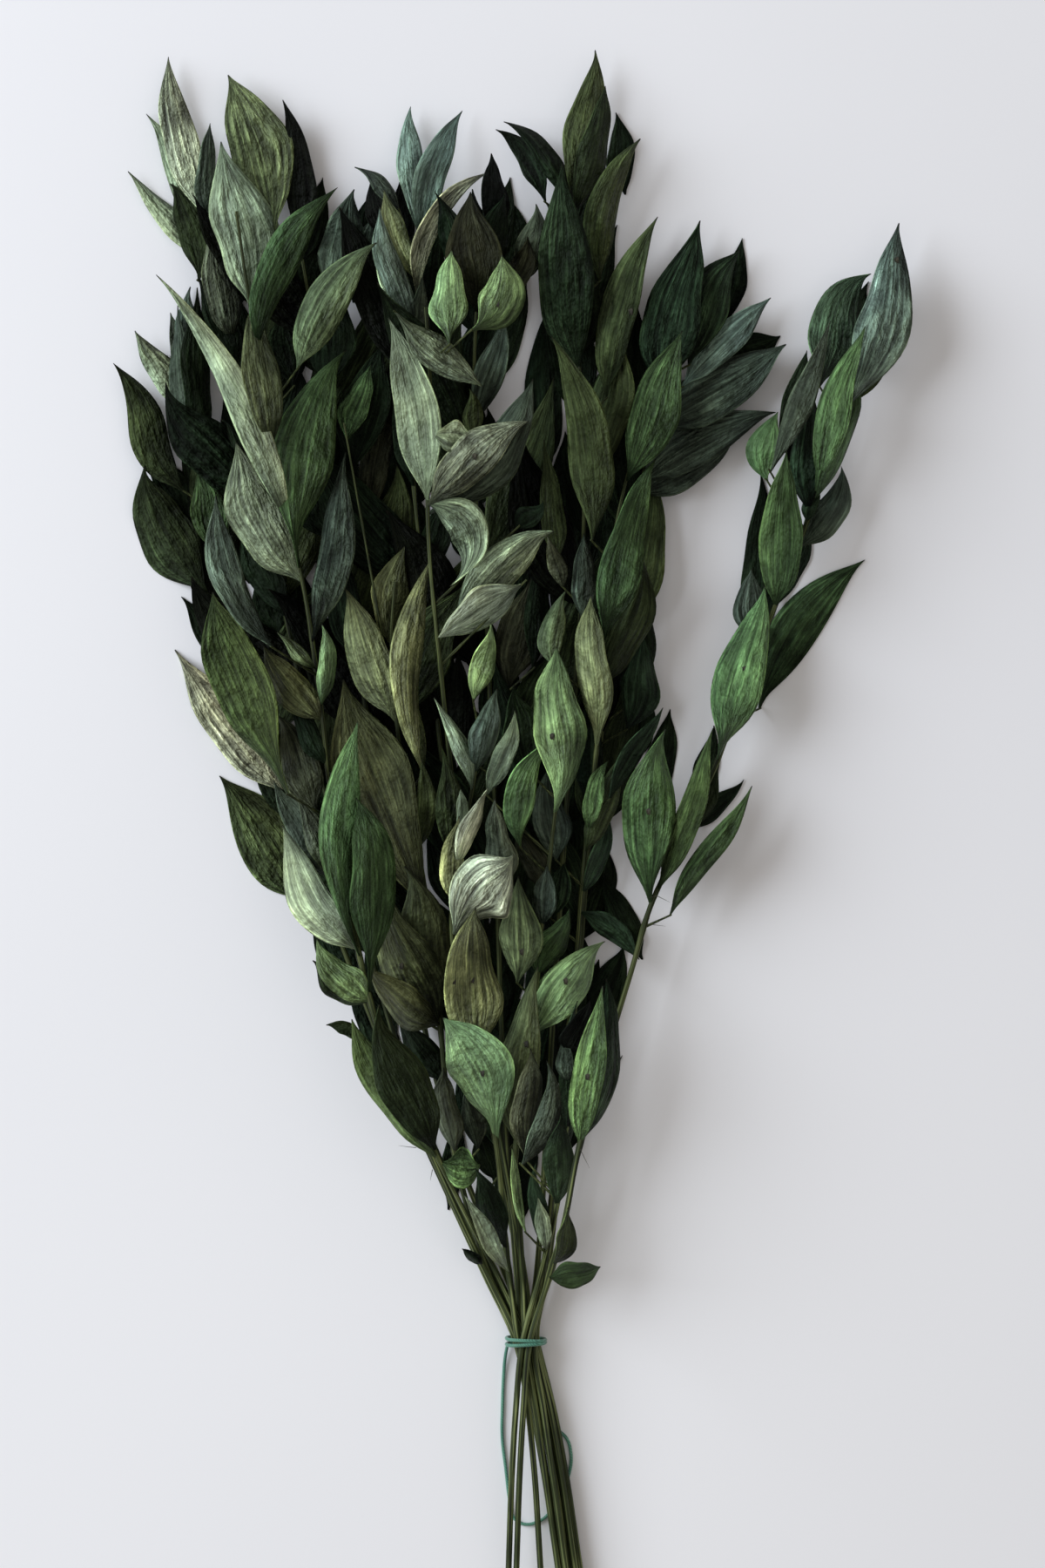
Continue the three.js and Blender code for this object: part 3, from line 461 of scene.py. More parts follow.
def lay_out_leaf(row, knots, flat):
    """A leaf's spine and its stations, each (x, y, half, roll, left lift, right lift, u)."""
    base_x, base_y, tip_x, tip_y, width, bow, roll = row[:7]
    root, distance = root_on(knots, base_x, base_y)
    on_petiole = distance > PETIOLE_FROM
    start = (base_x, base_y) if on_petiole else root[:2]
    length = math.dist(start, (tip_x, tip_y))
    left = (-(tip_y - start[1]) / length, (tip_x - start[0]) / length)
    tip = (tip_x, tip_y)
    middle = tuple(mix(start[n], tip[n], 0.5) + 2 * bow * left[n] for n in (0, 1))
    twist = 0 if flat else draw(-TWIST, TWIST)
    fold = 0 if flat else draw(*FOLD) * width
    wave = 0 if flat else draw(*WAVE) * width
    stations = [(*root[:2], 0, roll, 0, 0, 0)]
    if on_petiole:
        stations.append((base_x, base_y, PETIOLE_WIDTH / 2, roll, 0, 0, 0))
    places = NARROW_STATIONS if width < NARROW_WIDTH else BROAD_STATIONS
    for i, (u, share) in enumerate(places):
        half = share * width / 2 / math.cos(math.radians(roll))
        sway = wave if i % 2 else -wave
        x, y = bent(start, middle, tip, u)
        lean = 0 if flat else lean_of_pile(x, y, left, half)
        tilt = max(-STEEPEST_ROLL, min(STEEPEST_ROLL, roll * ROLL_KEPT + lean + twist * (u - 0.5)))
        stations.append((x, y, half, tilt, share * fold + sway, share * fold - sway, u))
    stations.append((tip_x, tip_y, 0, roll, 0, 0, 1))
    return (start, middle, tip), stations


def across_blade(left, half, roll, lifts, side):
    """The offset from the spine to a point across the blade: side 1 is the left edge, -1 the right."""
    angle = math.radians(roll)
    reach = side * half
    lift = side * lifts[0] if side > 0 else -side * lifts[1]
    out = reach * math.cos(angle) - lift * math.sin(angle)
    return out * left[0], out * left[1], reach * math.sin(angle) + lift * math.cos(angle)


def over_blade(stations, visit):
    """Calls visit(x, y, up, i, t, side) at places spread over the whole blade."""
    lefts = []
    for i in range(len(stations)):
        before, after = stations[max(0, i - 1)], stations[min(len(stations) - 1, i + 1)]
        length = math.dist(before[:2], after[:2])
        lefts.append((-(after[1] - before[1]) / length, (after[0] - before[0]) / length))
    for i in range(len(stations) - 1):
        a, b = stations[i], stations[i + 1]
        steps = math.ceil(math.dist(a[:2], b[:2]) / CELL)
        across = max(2, 2 * math.ceil(max(a[2], b[2]) / CLOSE))
        for k in range(steps + 1):
            for j in range(across + 1):
                t, side = k / steps, 2 * j / across - 1
                p = across_blade(lefts[i], a[2], a[3], a[4:6], side)
                q = across_blade(lefts[i + 1], b[2], b[3], b[4:6], side)
                visit(mix(a[0] + p[0], b[0] + q[0], t), mix(a[1] + p[1], b[1] + q[1], t),
                      mix(p[2], q[2], t), i, t, side)


def leaf_heights(stations, stem_z, arch, flat):
    """The heights of the stations: the spine rises from its root and lies over all that is below."""
    if flat:
        return [stem_z] + [BLADE_ROOM / 2 - REST_SINK] * (len(stations) - 1)
    root = stations[0]
    heights = [stem_z + arch * math.sin(math.pi * ARCH_TURN * station[6]) for station in stations]

    def settle(x, y, up, i, t, side):
        if math.hypot(x - root[0], y - root[1]) < ROOT_CLEAR:
            return
        needed = pile[cell_at(x, y)] + GAP + BLADE_ROOM / 2 - up
        if i > 0:
            heights[i] = max(heights[i], needed)
        heights[i + 1] = max(heights[i + 1], needed)

    over_blade(stations, settle)
    ease_heights(heights, lengths_between(stations), BLADE_SLOPE, 0)
    return heights


def pile_up_leaf(stations, heights):
    """Adds a blade to the pile."""
    def cover(x, y, up, i, t, side):
        raise_pile(x, y, mix(heights[i], heights[i + 1], t) + up + (1 - abs(side)) * BLADE_ROOM / 2)

    over_blade(stations, cover)


def stem_at(knots, y):
    """Where a stem runs at a place along the bunch, and its direction."""
    i = next(n for n, knot in enumerate(knots) if knot[1] > y)
    before, after = knots[i - 1], knots[i]
    x = mix(before[0], after[0], (y - before[1]) / (after[1] - before[1]))
    return x, math.atan2(after[1] - before[1], after[0] - before[0])


# Tones of the leaves low in the pile, by turns; dark and shade among them are painted shade for leaves
# deep in the bunch.
HIDDEN_TONES_WITH_SHADE = ("dark", "moss", "shade", "olive")
HIDDEN_SPREAD = 8
HIDDEN_LENGTHS = (0.85, 1.1)
HIDDEN_WIDTHS = (0.8, 1.1)
HIDDEN_BOW = 4
HIDDEN_ROLL = 12


def hidden_rows(spray, knots):
    """The leaves low in the pile, on alternate sides of a stem."""
    if "fill" not in spray:
        return []
    (first, last, step), spreads, length, width = spray["fill"]
    rows = []
    side = 1
    y = first
    while y < min(last, knots[-1][1] - 1):
        x, stem_angle = stem_at(knots, y)
        spread = (spreads[0] if side > 0 else -spreads[1]) + draw(-HIDDEN_SPREAD, HIDDEN_SPREAD)
        angle = stem_angle + spread * math.pi / 180
        reach = length * draw(*HIDDEN_LENGTHS)
        tip = (x + reach * math.cos(angle), y + reach * math.sin(angle))
        rows.append((x, y, *tip, width * draw(*HIDDEN_WIDTHS), draw(-HIDDEN_BOW, HIDDEN_BOW),
                     draw(-HIDDEN_ROLL, HIDDEN_ROLL), HIDDEN_TONES_WITH_SHADE[len(rows) % len(HIDDEN_TONES_WITH_SHADE)]))
        side = -side
        y += step / 2
    return rows


# --- The leafy stems -------------------------------------------------------------------------------
# Sixteen stems with their blades, from the bottom of the bunch to the top. A blade is base x, base y,
# tip x, tip y, width, the bulge to the left of its spine, its roll in degrees, and its tone. rest:
# pressed flat under the bunch. under and over: below and above the stem. fill: hidden low in the pile.
SPRAYS = [
    {
        "layer": 0,
        "arch": 3,
        "path": [(18.2, -128), (6, -45), (-4.9, 0), (-23.5, 40), (-39.5, 75), (-60, 120), (-84, 180),
            (-108, 245), (-128, 310), (-143, 375), (-152, 430), (-156, 470)],
        "rest": [(-104, 203, -142, 261, 28, -3, 0, "olive")],
        "under": [(-110, 252, -161, 320, 19, 4, -10, "cream", 0, 0.95),
            (-150, 440, -165, 475, 9, 0, 35, "slate"), (-150, 445, -157, 487, 11, 0, -35, "slate"),
            (-140, 360, -150, 430, 22, 0, 10, "moss")],
        "over": [(-160, 428, -181, 466, 10, -2, 35, "sage"),
            (-157.5, 392, -191, 451, 16, 0, 10, "moss", 3.2, 1),
            (-146, 400, -160, 478, 13, 3, -30, "slate"), (-146, 415, -150, 486, 13, 3, 30, "dark"),
            (-147, 345, -179.5, 402.5, 25, 2, -8, "moss", 0, 0.9),
            (-146, 366, -151.5, 404, 15.5, 0, 10, "green", 1, 0.95)],
        "fill": ((235, 330, 80), (10, 30), 80, 26),
    },
    {
        "layer": 0,
        "arch": 3,
        "path": [(21.6, -128), (10, -45), (-1.63, 0), (-20, 40), (-36, 75), (-55, 120), (-72, 180),
            (-92, 250), (-110, 330), (-124, 400), (-134, 455), (-143, 505), (-149, 545)],
        "under": [(-150, 500, -183, 541, 9, 2, 35, "sage"), (-148, 500, -174, 568, 12, -1, -30, "sage"),
            (-151, 489, -162.5, 536, 17, -5, 10, "moss"), (-142, 455, -150, 490, 12, 0, 0, "dark"),
            (-108, 440, -112, 475, 16, 0, 0, "dark"), (-115, 335, -132, 375, 16, 0, 0, "dark")],
        "over": [(-146, 512, -165.5, 593, 15, 4.5, 12, "pale", 0, 0.78),
            (-134, 413, -139, 425, 9, 0, 0, "dark"), (-130, 465, -146, 512, 17, 0, -10, "taupe"),
            (-140, 520, -146, 562, 10, 2, 30, "slate")],
        "bare": 1,
        "fill": ((205, 440, 90), (25, 28), 82, 26),
    },
    {
        "layer": 0,
        "arch": 3,
        "path": [(25, -128), (13, -45), (1.63, 0), (-13, 40), (-30, 80), (-44, 130), (-58, 200),
            (-72, 280), (-84, 360), (-93, 430), (-100, 480), (-106, 515)],
        "rest": [(-97, 505, -94, 538, 13, 0, 0, "dark")],
        "under": [(-85, 490, -71, 518, 11, 0, -20, "slate"), (-92, 440, -85, 490, 22, 0, 0, "dark"),
            (-85, 320, -92, 370, 18, 0, 0, "dark"), (-80, 365, -84, 410, 12, 0, 0, "dark")],
        "over": [(-72, 380, -62, 450, 15, 0, -20, "brown"), (-80, 400, -67, 460, 20, 0, 15, "dark"),
            (-91, 480, -82.5, 531, 20, -3, 8, "slate", 0, 0.9),
            (-100, 500, -110.5, 573, 12.5, -2, 15, "black", 0, 0.9),
            (-116, 510, -137.5, 584.5, 27, -3, 4, "sage_olive", 0, 0.85)],
        "fill": ((190, 480, 90), (28, 28), 84, 26),
    },
    {
        "layer": 0,
        "arch": 3,
        "path": [(28.4, -128), (16, -45), (4.9, 0), (-4, 40), (-14, 90), (-24, 150), (-34, 230),
            (-44, 310), (-52, 400), (-52, 460), (-48, 510)],
        "rest": [(-58, 500, -58, 538, 12, 0, 0, "black")],
        "under": [(-62, 505, -72, 536, 13, 0, -15, "black"), (-56, 395, -60, 440, 10, 0, 0, "dark"),
            (-45, 350, -38, 392, 14, 0, 0, "dark"), (-36, 140, -44, 190, 12, 0, 0, "dark")],
        "over": [(-58, 520, -79, 542, 8, -3, 30, "slate"), (-44, 455, -47, 492, 9, 0, 30, "slate"),
            (-53, 468, -70, 505, 8, 2, 35, "sage"), (-49, 490, -65, 530, 11, 3, -15, "straw"),
            (-48, 468, -67, 522, 13, 3, 20, "teal"),
            (-48.5, 508, -55, 570, 12, 0.5, 15, "teal", 0, 0.82),
            (-46, 509, -29.5, 568, 15, 5.5, -8, "teal", 0, 0.9),
            (-44, 486, -16.5, 539, 11, 11, 12, "cream", 0, 1.1)],
        "fill": ((170, 460, 90), (28, 28), 84, 26),
    },
    {
        "layer": 1,
        "arch": 4,
        "path": [(21.6, -128), (10, -45), (-1.63, 0), (-5, 40), (-9, 90), (-12, 160), (-14, 240),
            (-18, 330), (-24, 400), (-24, 460), (-20, 500)],
        "under": [(-26, 500, -24, 530, 12, 0, 15, "dark"), (-16, 508, -14.5, 547, 14, 0, -10, "black"),
            (-30, 480, -40, 528, 16, 0, 0, "dark"), (-24, 425, -9, 474, 13, 0, 0, "slate"),
            (-8, 300, 2, 352, 20, 0, 0, "brown"), (3, 310, 8, 365, 12, 0, 0, "dark"),
            (-28, 270, -32, 318, 12, 0, 0, "black"), (9, 105, 12, 155, 12, 0, 0, "dark")],
        "over": [(-22, 495, -8, 528, 16, 0, 10, "dark"), (-2, 487, 5.5, 523.5, 13, -2, -15, "slate"),
            (-14, 478, 1, 508, 14, -3, 15, "brown"), (-25, 478, -25, 528, 24, 0, 5, "brown")],
        "fill": ((210, 460, 100), (28, 26), 84, 25),
    },
    {
        "layer": 1,
        "arch": 4,
        "path": [(28.4, -128), (16, -45), (4.9, 0), (12, 45), (17, 100), (24, 170), (30, 240), (38, 310),
            (48, 370), (58, 420), (66, 455)],
        "under": [(54, 391, 98, 416, 17, 1, 10, "slate"), (50, 295, 56, 343, 11, -1, 15, "dark"),
            (26, 250, 28, 300, 12, 0, 0, "dark"), (46, 385, 42, 446, 13, 0, 0, "dark"),
            (54, 410, 50, 486, 14, 0, 0, "dark")],
        "over": [(56, 398, 115, 430, 21, 5, 0, "slate"), (64, 422, 119, 461, 24, -1, 5, "slate"),
            (72, 440, 112, 482, 14, 0, 25, "teal"), (75, 450, 100, 502, 22, 5, 0, "forest"),
            (62, 440, 80, 517, 25, 3, 10, "forest"), (46, 282, 55, 327, 16, -2, -8, "forest")],
        "fill": ((190, 400, 90), (24, 6), 80, 24),
    },
    {
        "layer": 1,
        "arch": 4,
        "path": [(25, -128), (13, -45), (1.63, 0), (6, 40), (9, 90), (13, 160), (18, 240), (24, 320),
            (27, 380), (25, 440), (22, 500), (20, 535)],
        "under": [(9, 524, -13.5, 560, 10, -4, 15, "dark"), (14, 530, -10, 563, 9, -4, -30, "dark")],
        "over": [(15, 360, 7, 415, 11, 0, 30, "olive"), (18, 527, 34.5, 595, 17, 1, 8, "olive", 0, 0.95),
            (21, 517, 36.5, 578, 16.5, -2.5, 0, "moss", 0, 0.9),
            (34, 489, 52.5, 554, 15.5, 7.5, -8, "olive", 0, 1),
            (37, 434.5, 60.5, 518.5, 17, 6, 5, "olive", 0, 1),
            (26.5, 449, 14, 541, 24, 1.5, 6, "forest", 1.5, 1.05)],
        "fill": ((230, 440, 110), (26, 10), 84, 24),
    },
    {
        "layer": 1,
        "arch": 4,
        "path": [(18.2, -128), (6, -45), (-4.9, 0), (-20, 40), (-31, 75), (-36, 110), (-40, 152),
            (-47, 215), (-58, 270), (-62, 320), (-60, 350)],
        "under": [(-61.5, 321, -55, 366, 15.5, 5, 12, "khaki", 0, 0.9),
            (-82, 415, -72, 450, 12, 0, -20, "green"), (-50, 150, -72, 190, 14, 0, 0, "dark"),
            (-38, 120, -58, 150, 14, 0, 0, "dark"), (-14, 75, -22, 100, 12, 0, 0, "dark")],
        "over": [(-22, 89, -28, 118, 10, 0, 20, "slate"), (-37, 90, -38, 127, 13, 0, -15, "taupe"),
            (-55, 288, -80.5, 347.5, 21, 2, -8, "straw", 0, 0.9),
            (-47, 262, -61, 322, 10, 0, 30, "sage_olive"),
            (-47, 262, -42, 361, 14, 10.5, 12, "straw", 0, 0.85),
            (-50, 228, -48.5, 268, 9, -3, -12, "olive"),
            (-38.5, 198, -87, 303.5, 34, -2, 4, "khaki", 0, 0.72),
            (-37, 156, -52, 220, 23, 1, -12, "khaki"), (-38, 150, -65, 214, 26, 3, 10, "khaki"),
            (-37, 148, -73, 173, 20, 2, -15, "khaki")],
        "fill": ((230, 340, 110), (26, 26), 78, 24),
    },
    {
        "layer": 2,
        "arch": 5,
        "path": [(26, -128), (14, -45), (3.6, 0), (-2, 40), (-11, 90), (-22, 160), (-32, 240),
            (-40, 320), (-45.6, 377), (-43.6, 401), (-43, 430), (-46, 475)],
        "under": [(-5, 373, 9, 385, 10, 0, 0, "dark"), (-24, 413, -25, 438, 8, 0, 25, "olive")],
        "over": [(-45, 385, -62, 470, 20, -4, 8, "sage", 0, 1),
            (-59.5, 472, -19.5, 440, 18, -4, -10, "sage", 0, 0.75),
            (-35, 457, -34.5, 500.5, 18, 0, 8, "lime", 0, 0.8),
            (-25.5, 463, -12, 498, 22, -7, -6, "lime", 0, 0.8),
            (-45, 420, -23, 414, 14, -1, 10, "sage", 0, 0.72),
            (-38, 386, 3, 442, 23, -9, 8, "slate", 0, 0.9), (-42, 386, 0, 424, 19, 2, -8, "ash"),
            (-44, 386, -33, 346, 19, 15, 8, "sage", 0, 1), (-33, 332, 11, 375, 24, 3, 0, "sage", 0, 0.9),
            (-2, 348, -40.5, 323.5, 21, -1, 5, "pale", 0, 0.9)],
    },
    {
        "layer": 2,
        "arch": 6,
        "path": [(19.2, -128), (7, -45), (-3.6, 0), (-22, 40), (-38, 75), (-58, 120), (-71.6, 157),
            (-82, 210), (-91.6, 269), (-94, 297), (-103.6, 357), (-113.6, 393), (-121, 440), (-128, 485),
            (-133, 520)],
        "under": [(-72, 158, -95, 178, 15, 3, 10, "moss"), (-90, 215, -117, 257, 15, 0, -10, "slate"),
            (-88, 210, -103, 252, 12, 0, 20, "taupe"), (-96, 245, -112, 290, 17, 0, 10, "taupe"),
            (-98, 270, -108, 297, 11, 0, -20, "forest"), (-127, 478, -141, 552, 28, -3, 8, "sage")],
        "over": [(-22, 36, -29, 44, 6, 0, 0, "dark"), (-72, 160, -96, 186, 14, 2, 20, "lime"),
            (-80, 232, -88, 263, 11, 0, 25, "slate"), (-85, 186, -108, 239, 24, 6, -12, "sage", 0, 1),
            (-81, 180, -74.8, 285, 18, 11.5, 10, "vivid", 0, 0.75),
            (-71, 162, -73, 251, 26, -1, 6, "green", 0, 0.62),
            (-93, 286, -120.5, 319.5, 16, 1, -8, "khaki", 0, 1),
            (-107.5, 252, -146, 343.5, 28, -1.5, 8, "leaf_olive", 0, 0.7),
            (-99, 312, -114, 326, 7, 0, 20, "sage_olive"),
            (-115, 319, -141, 389, 16, 9, -8, "slate", 0, 0.95), (-92, 296, -92, 330, 9, -2, 30, "lime"),
            (-98, 325, -85, 409, 15, -4, 8, "slate", 0, 0.95),
            (-106, 353, -131, 414, 26, 5.5, 3, "sage", 0, 0.95),
            (-102, 358, -85.5, 458, 26, 8.5, -6, "green", 0, 0.78),
            (-112, 376, -168.5, 491.5, 13, -8, 15, "sage", 0, 1.1),
            (-120, 412, -125, 483, 19, 0, 10, "khaki", -1, 1),
            (-104, 446, -70, 506.5, 19, 4, 8, "sage_olive", 0, 1),
            (-117, 461, -86.5, 531, 17, 9, 10, "green", 0, 0.9)],
    },
    {
        "layer": 2,
        "arch": 4,
        "path": [(22.6, -128), (10.5, -45), (0, 0), (-18, 42), (-36, 76), (-46, 100), (-54, 122)],
        "under": [(-44, 95, -62, 135, 12, 0, 15, "dark")],
        "over": [(-76, 140, -91, 148, 6, -2, 20, "moss"),
            (-45, 88, -80, 150, 18, 4, 12, "leaf_olive", 0, 0.85), (-40, 92, -71, 155, 26, 0, -5, "moss"),
            (-45, 86, -20.5, 82, 18, -2, 5, "vivid", 0, 0.72)],
    },
    {
        "layer": 3,
        "arch": 5,
        "path": [(21.5, -128), (10, -45), (3.6, 0), (9, 40), (14, 90), (20, 150), (24.4, 187), (26, 215),
            (30, 250), (35, 300), (36, 340), (42, 380), (50, 412)],
        "under": [(17, 347, 10, 370, 7, 0, 20, "taupe"), (27, 330, 26, 372, 9, 0, -30, "slate"),
            (14, 222, 10, 266, 15, 0, 10, "slate"), (29, 209, 37, 246, 10, -3, 15, "forest")],
        "over": [(12, 195, 18, 221, 12, 0, -10, "forest"), (31, 204, 51, 176, 10, 4, 15, "forest"),
            (32, 230, 44, 272, 13, 0, 12, "olive"), (28, 235, 37, 268, 9, 2, -20, "vivid"),
            (38, 250, 64, 291, 11, 3, 15, "forest"), (36, 302, 54, 361, 21, -2, 8, "moss"),
            (12, 312, 17, 346, 11, 2, 15, "sage_olive"),
            (29.5, 273, 28.5, 343, 16, -1, -8, "straw", -1, 0.72),
            (37, 325, 57, 407, 19, 2, 10, "green", 0, 1), (48, 398, 72, 465, 21, 0, -8, "green"),
            (30, 368, 12.5, 463, 19.5, -7, 8, "olive", 0, 1)],
    },
    {
        "layer": 3,
        "arch": 5,
        "path": [(18.1, -128), (6.5, -45), (0, 0), (-2, 40), (-5, 85), (0, 130), (5, 165), (8, 200),
            (13, 240), (17, 280)],
        "under": [(2, 262, -8, 302, 17, 0, 10, "forest"), (3, 214, -4, 240, 14, 0, -10, "brown")],
        "over": [(-18, 252, -5, 291, 9, -2, 20, "sage"), (7, 170, 21, 199, 15, 2, 8, "green"),
            (7, 194, 10, 220, 10, 0, 20, "slate"),
            (1.5, 140.5, 34.5, 186.5, 20, 2, -10, "lime", 0, 0.78),
            (-4, 166, -4, 215, 21, -2, 8, "sage_olive"),
            (-2.5, 228, 10.5, 278.5, 13, 6, 12, "vivid", 0, 1),
            (17, 245, 15, 320, 24, -1.5, 5, "lime", -2.6, 0.76),
            (-8, 95, 4, 174, 20, 4, -8, "sage_olive")],
    },
    {
        "layer": 3,
        "arch": 6,
        "path": [(8.2, -128), (3, -45), (-3.6, 0), (-9, 40), (-13, 88), (-18, 120), (-28, 155),
            (-36, 190), (-30, 225), (-24, 258), (-20, 290)],
        "under": [(-33, 225, -38, 275, 12, 0, -15, "moss"), (-24, 256, -42, 296.5, 9, -3, 18, "sage"),
            (-27, 236, -30, 255, 6, 0, 20, "sage"), (-13, 45, -22, 82, 12, 0, -15, "dark")],
        "over": [(-15, 38, -28, 70, 7, 0, 30, "sage"), (-25, 264, -14, 301, 12, 0, -15, "slate"),
            (-24, 295, -15, 330, 10, 0, 20, "lime"), (-36, 205, -29, 242, 9, 3, 25, "straw"),
            (-25, 222, -18, 256, 10, 2, 10, "cream"), (-12, 205, -16, 250, 14, -2, -10, "taupe"),
            (-38, 192, -4, 221, 30, 5, 6, "cream", 0, 0.72),
            (-25, 132, -24.5, 201, 29, 1.5, 3, "straw", 0, 0.85),
            (-14, 92, -38, 150, 28, -7, 8, "lime", 0, 0.64)],
    },
    {
        "layer": 4,
        "arch": 4,
        "path": [(-8.8, -128), (-6, -45), (-1.63, 0), (4, 22), (10, 42), (14, 64), (18, 90), (20, 120),
            (19, 140)],
        "under": [(14, 88, 19, 121, 9, 0, 15, "forest"), (20, 98, 22, 158, 9, 0, -20, "forest"),
            (15, 122, 17, 142, 7, 0, 20, "slate")],
        "over": [(4, 50, 3, 83, 10, 0, 10, "forest"), (5, 50, 6, 68, 7, 0, -15, "sage"),
            (0, 52, -6, 90, 5, 2, 30, "lime"), (0, 85, 4, 136, 15, 2, 10, "taupe"),
            (-2, 83, 10, 131, 10, -6, 25, "slate"), (14, 63, 17, 106, 14, 0, -8, "forest"),
            (16, 140, 29, 158, 14, 0, 0, "black")],
    },
    {
        "layer": 4,
        "arch": 4,
        "path": [(-5.2, -128), (-2.4, -45), (1.63, 0), (8, 22), (14.4, 41), (24.4, 93), (34, 125),
            (46.4, 165), (58.4, 205), (78.4, 245), (90.4, 273), (104, 310), (116, 343), (124, 362),
            (134.4, 393), (146, 430), (155, 462)],
        "rest": [(108, 292, 157, 361, 20, 8, 0, "green")],
        "under": [(31, 98, 38.5, 168.5, 17, -5, 15, "forest"), (73, 236, 88, 268, 9, -3, -20, "moss"),
            (107, 328, 104, 356, 14, 3, 8, "slate"), (121, 405, 129, 457, 12, 1, 15, "dark"),
            (131, 367, 147, 403, 14, -4, -10, "slate"), (135, 440, 156, 494, 23, 4, 5, "ivy"),
            (150, 432, 178, 488, 12, -2, -20, "olive")],
        "over": [(13, 38, 18, 64, 11, -3, 15, "olive"), (13, 32, 34, 36, 15, 0, 20, "green"),
            (25, 93, 35, 165, 13.5, 1, 12, "vivid"), (66, 197, 104, 256, 10, 1, 15, "green", 1.5, 1),
            (61, 208, 84, 283, 13, -3, 15, "leaf_olive"), (57, 203, 60.5, 283, 25, 3, 5, "vivid", 0, 0.85),
            (115, 348, 121, 376, 7, 0, 25, "taupe"), (111, 396, 116, 428, 14, 4, 15, "vivid"),
            (130, 378, 134, 396, 7, 0, 0, "forest"), (128, 385, 131, 440, 16, 2, 10, "forest"),
            (137, 387, 150, 452, 14, -4, -12, "green"),
            (142, 430, 168.5, 515, 22, -7, 6, "teal", 0, 0.85),
            (138, 395, 157, 466, 14, 4, 10, "vivid"), (112, 400, 139, 470, 9, -2, 30, "slate"),
            (111, 347, 119, 410, 21, -1, 5, "green"),
            (88.5, 269.5, 111.5, 347.5, 23, 0, -6, "vivid", 0, 0.85)],
    },
]


# --- Leaf, stem and bract finishes -----------------------------------------------------------------
# A preserved blade keeps its long fine veins and pleats, which catch the light, under a satin skin
# that has faded and browned in streaks. Its colour also carries painted light: shade and highlight on
# its pleats and crumples, shade towards its stalk, a highlight along its margins, one half lighter and
# the other darker. The stems are ridged, with painted shade under the leaves, and the bracts are dry
# and dark.
TONES = {
    "cream": (172, 180, 150),
    "pale": (158, 174, 148),
    "sage": (128, 146, 118),
    "lime": (118, 148, 100),
    "straw": (118, 128, 88),
    "ash": (108, 118, 98),
    "teal": (96, 118, 108),
    "sage_olive": (96, 112, 78),
    "vivid": (84, 114, 70),
    "khaki": (78, 86, 58),
    "taupe": (76, 84, 66),
    "leaf_olive": (68, 86, 50),
    "slate": (64, 76, 64),
    "green": (60, 82, 50),
    "olive": (60, 72, 44),
    "ivy": (56, 74, 54),
    "brown": (42, 45, 32),
    "moss": (40, 50, 30),
    "forest": (36, 52, 36),
    # dark, black and shade are painted shade: leaves in the bunch's shade, coloured nearly as dark as that
    # shade.
    "dark": (22, 32, 20),
    "black": (14, 18, 14),
    "shade": (8, 11, 6),
}


def mapped(tree, source, scale):
    """A node that stretches a texture's coordinates, and its output."""
    mapping = add_node(tree, "Mapping", inputs={"Scale": scale})
    tree.links.new(source, mapping.inputs["Vector"])
    return mapping.outputs["Vector"]


def noise_on(tree, vector, scale, detail, roughness=0.55):
    """Cloudy noise on those coordinates."""
    noise = add_node(tree, "TexNoise", inputs={"Scale": scale, "Detail": detail, "Roughness": roughness})
    tree.links.new(vector, noise.inputs["Vector"])
    return noise.outputs["Fac"]


def ranged(tree, value, low, high, to_low, to_high):
    """A value from one range carried to another, held at its ends."""
    node = add_node(tree, "MapRange", inputs={"From Min": low, "From Max": high,
                                              "To Min": to_low, "To Max": to_high})
    tree.links.new(value, node.inputs["Value"])
    return node.outputs["Result"]


def sums(tree, operation, a, b):
    """Two values, or a value and a number, added, multiplied and so on."""
    node = add_node(tree, "Math", operation=operation)
    for socket, value in zip(node.inputs, (a, b)):
        if isinstance(value, (int, float)):
            socket.default_value = value
        else:
            tree.links.new(value, socket)
    return node.outputs["Value"]


def weighed(tree, first, *others):
    """The sum of pairs, each a value and its weight."""
    total = sums(tree, "MULTIPLY", *first)
    for pair in others:
        total = sums(tree, "ADD", total, sums(tree, "MULTIPLY", *pair))
    return total


def blended(tree, factor, a, b, blend_type="MIX"):
    """One colour mixed into another by a factor; each is a node's output or a colour."""
    node = add_node(tree, "Mix", data_type="RGBA", blend_type=blend_type)
    for socket, value in ((node.inputs["Factor"], factor), (node.inputs["A"], a), (node.inputs["B"], b)):
        if isinstance(value, (int, float, tuple)):
            socket.default_value = value
        else:
            tree.links.new(value, socket)
    return node.outputs["Result"]


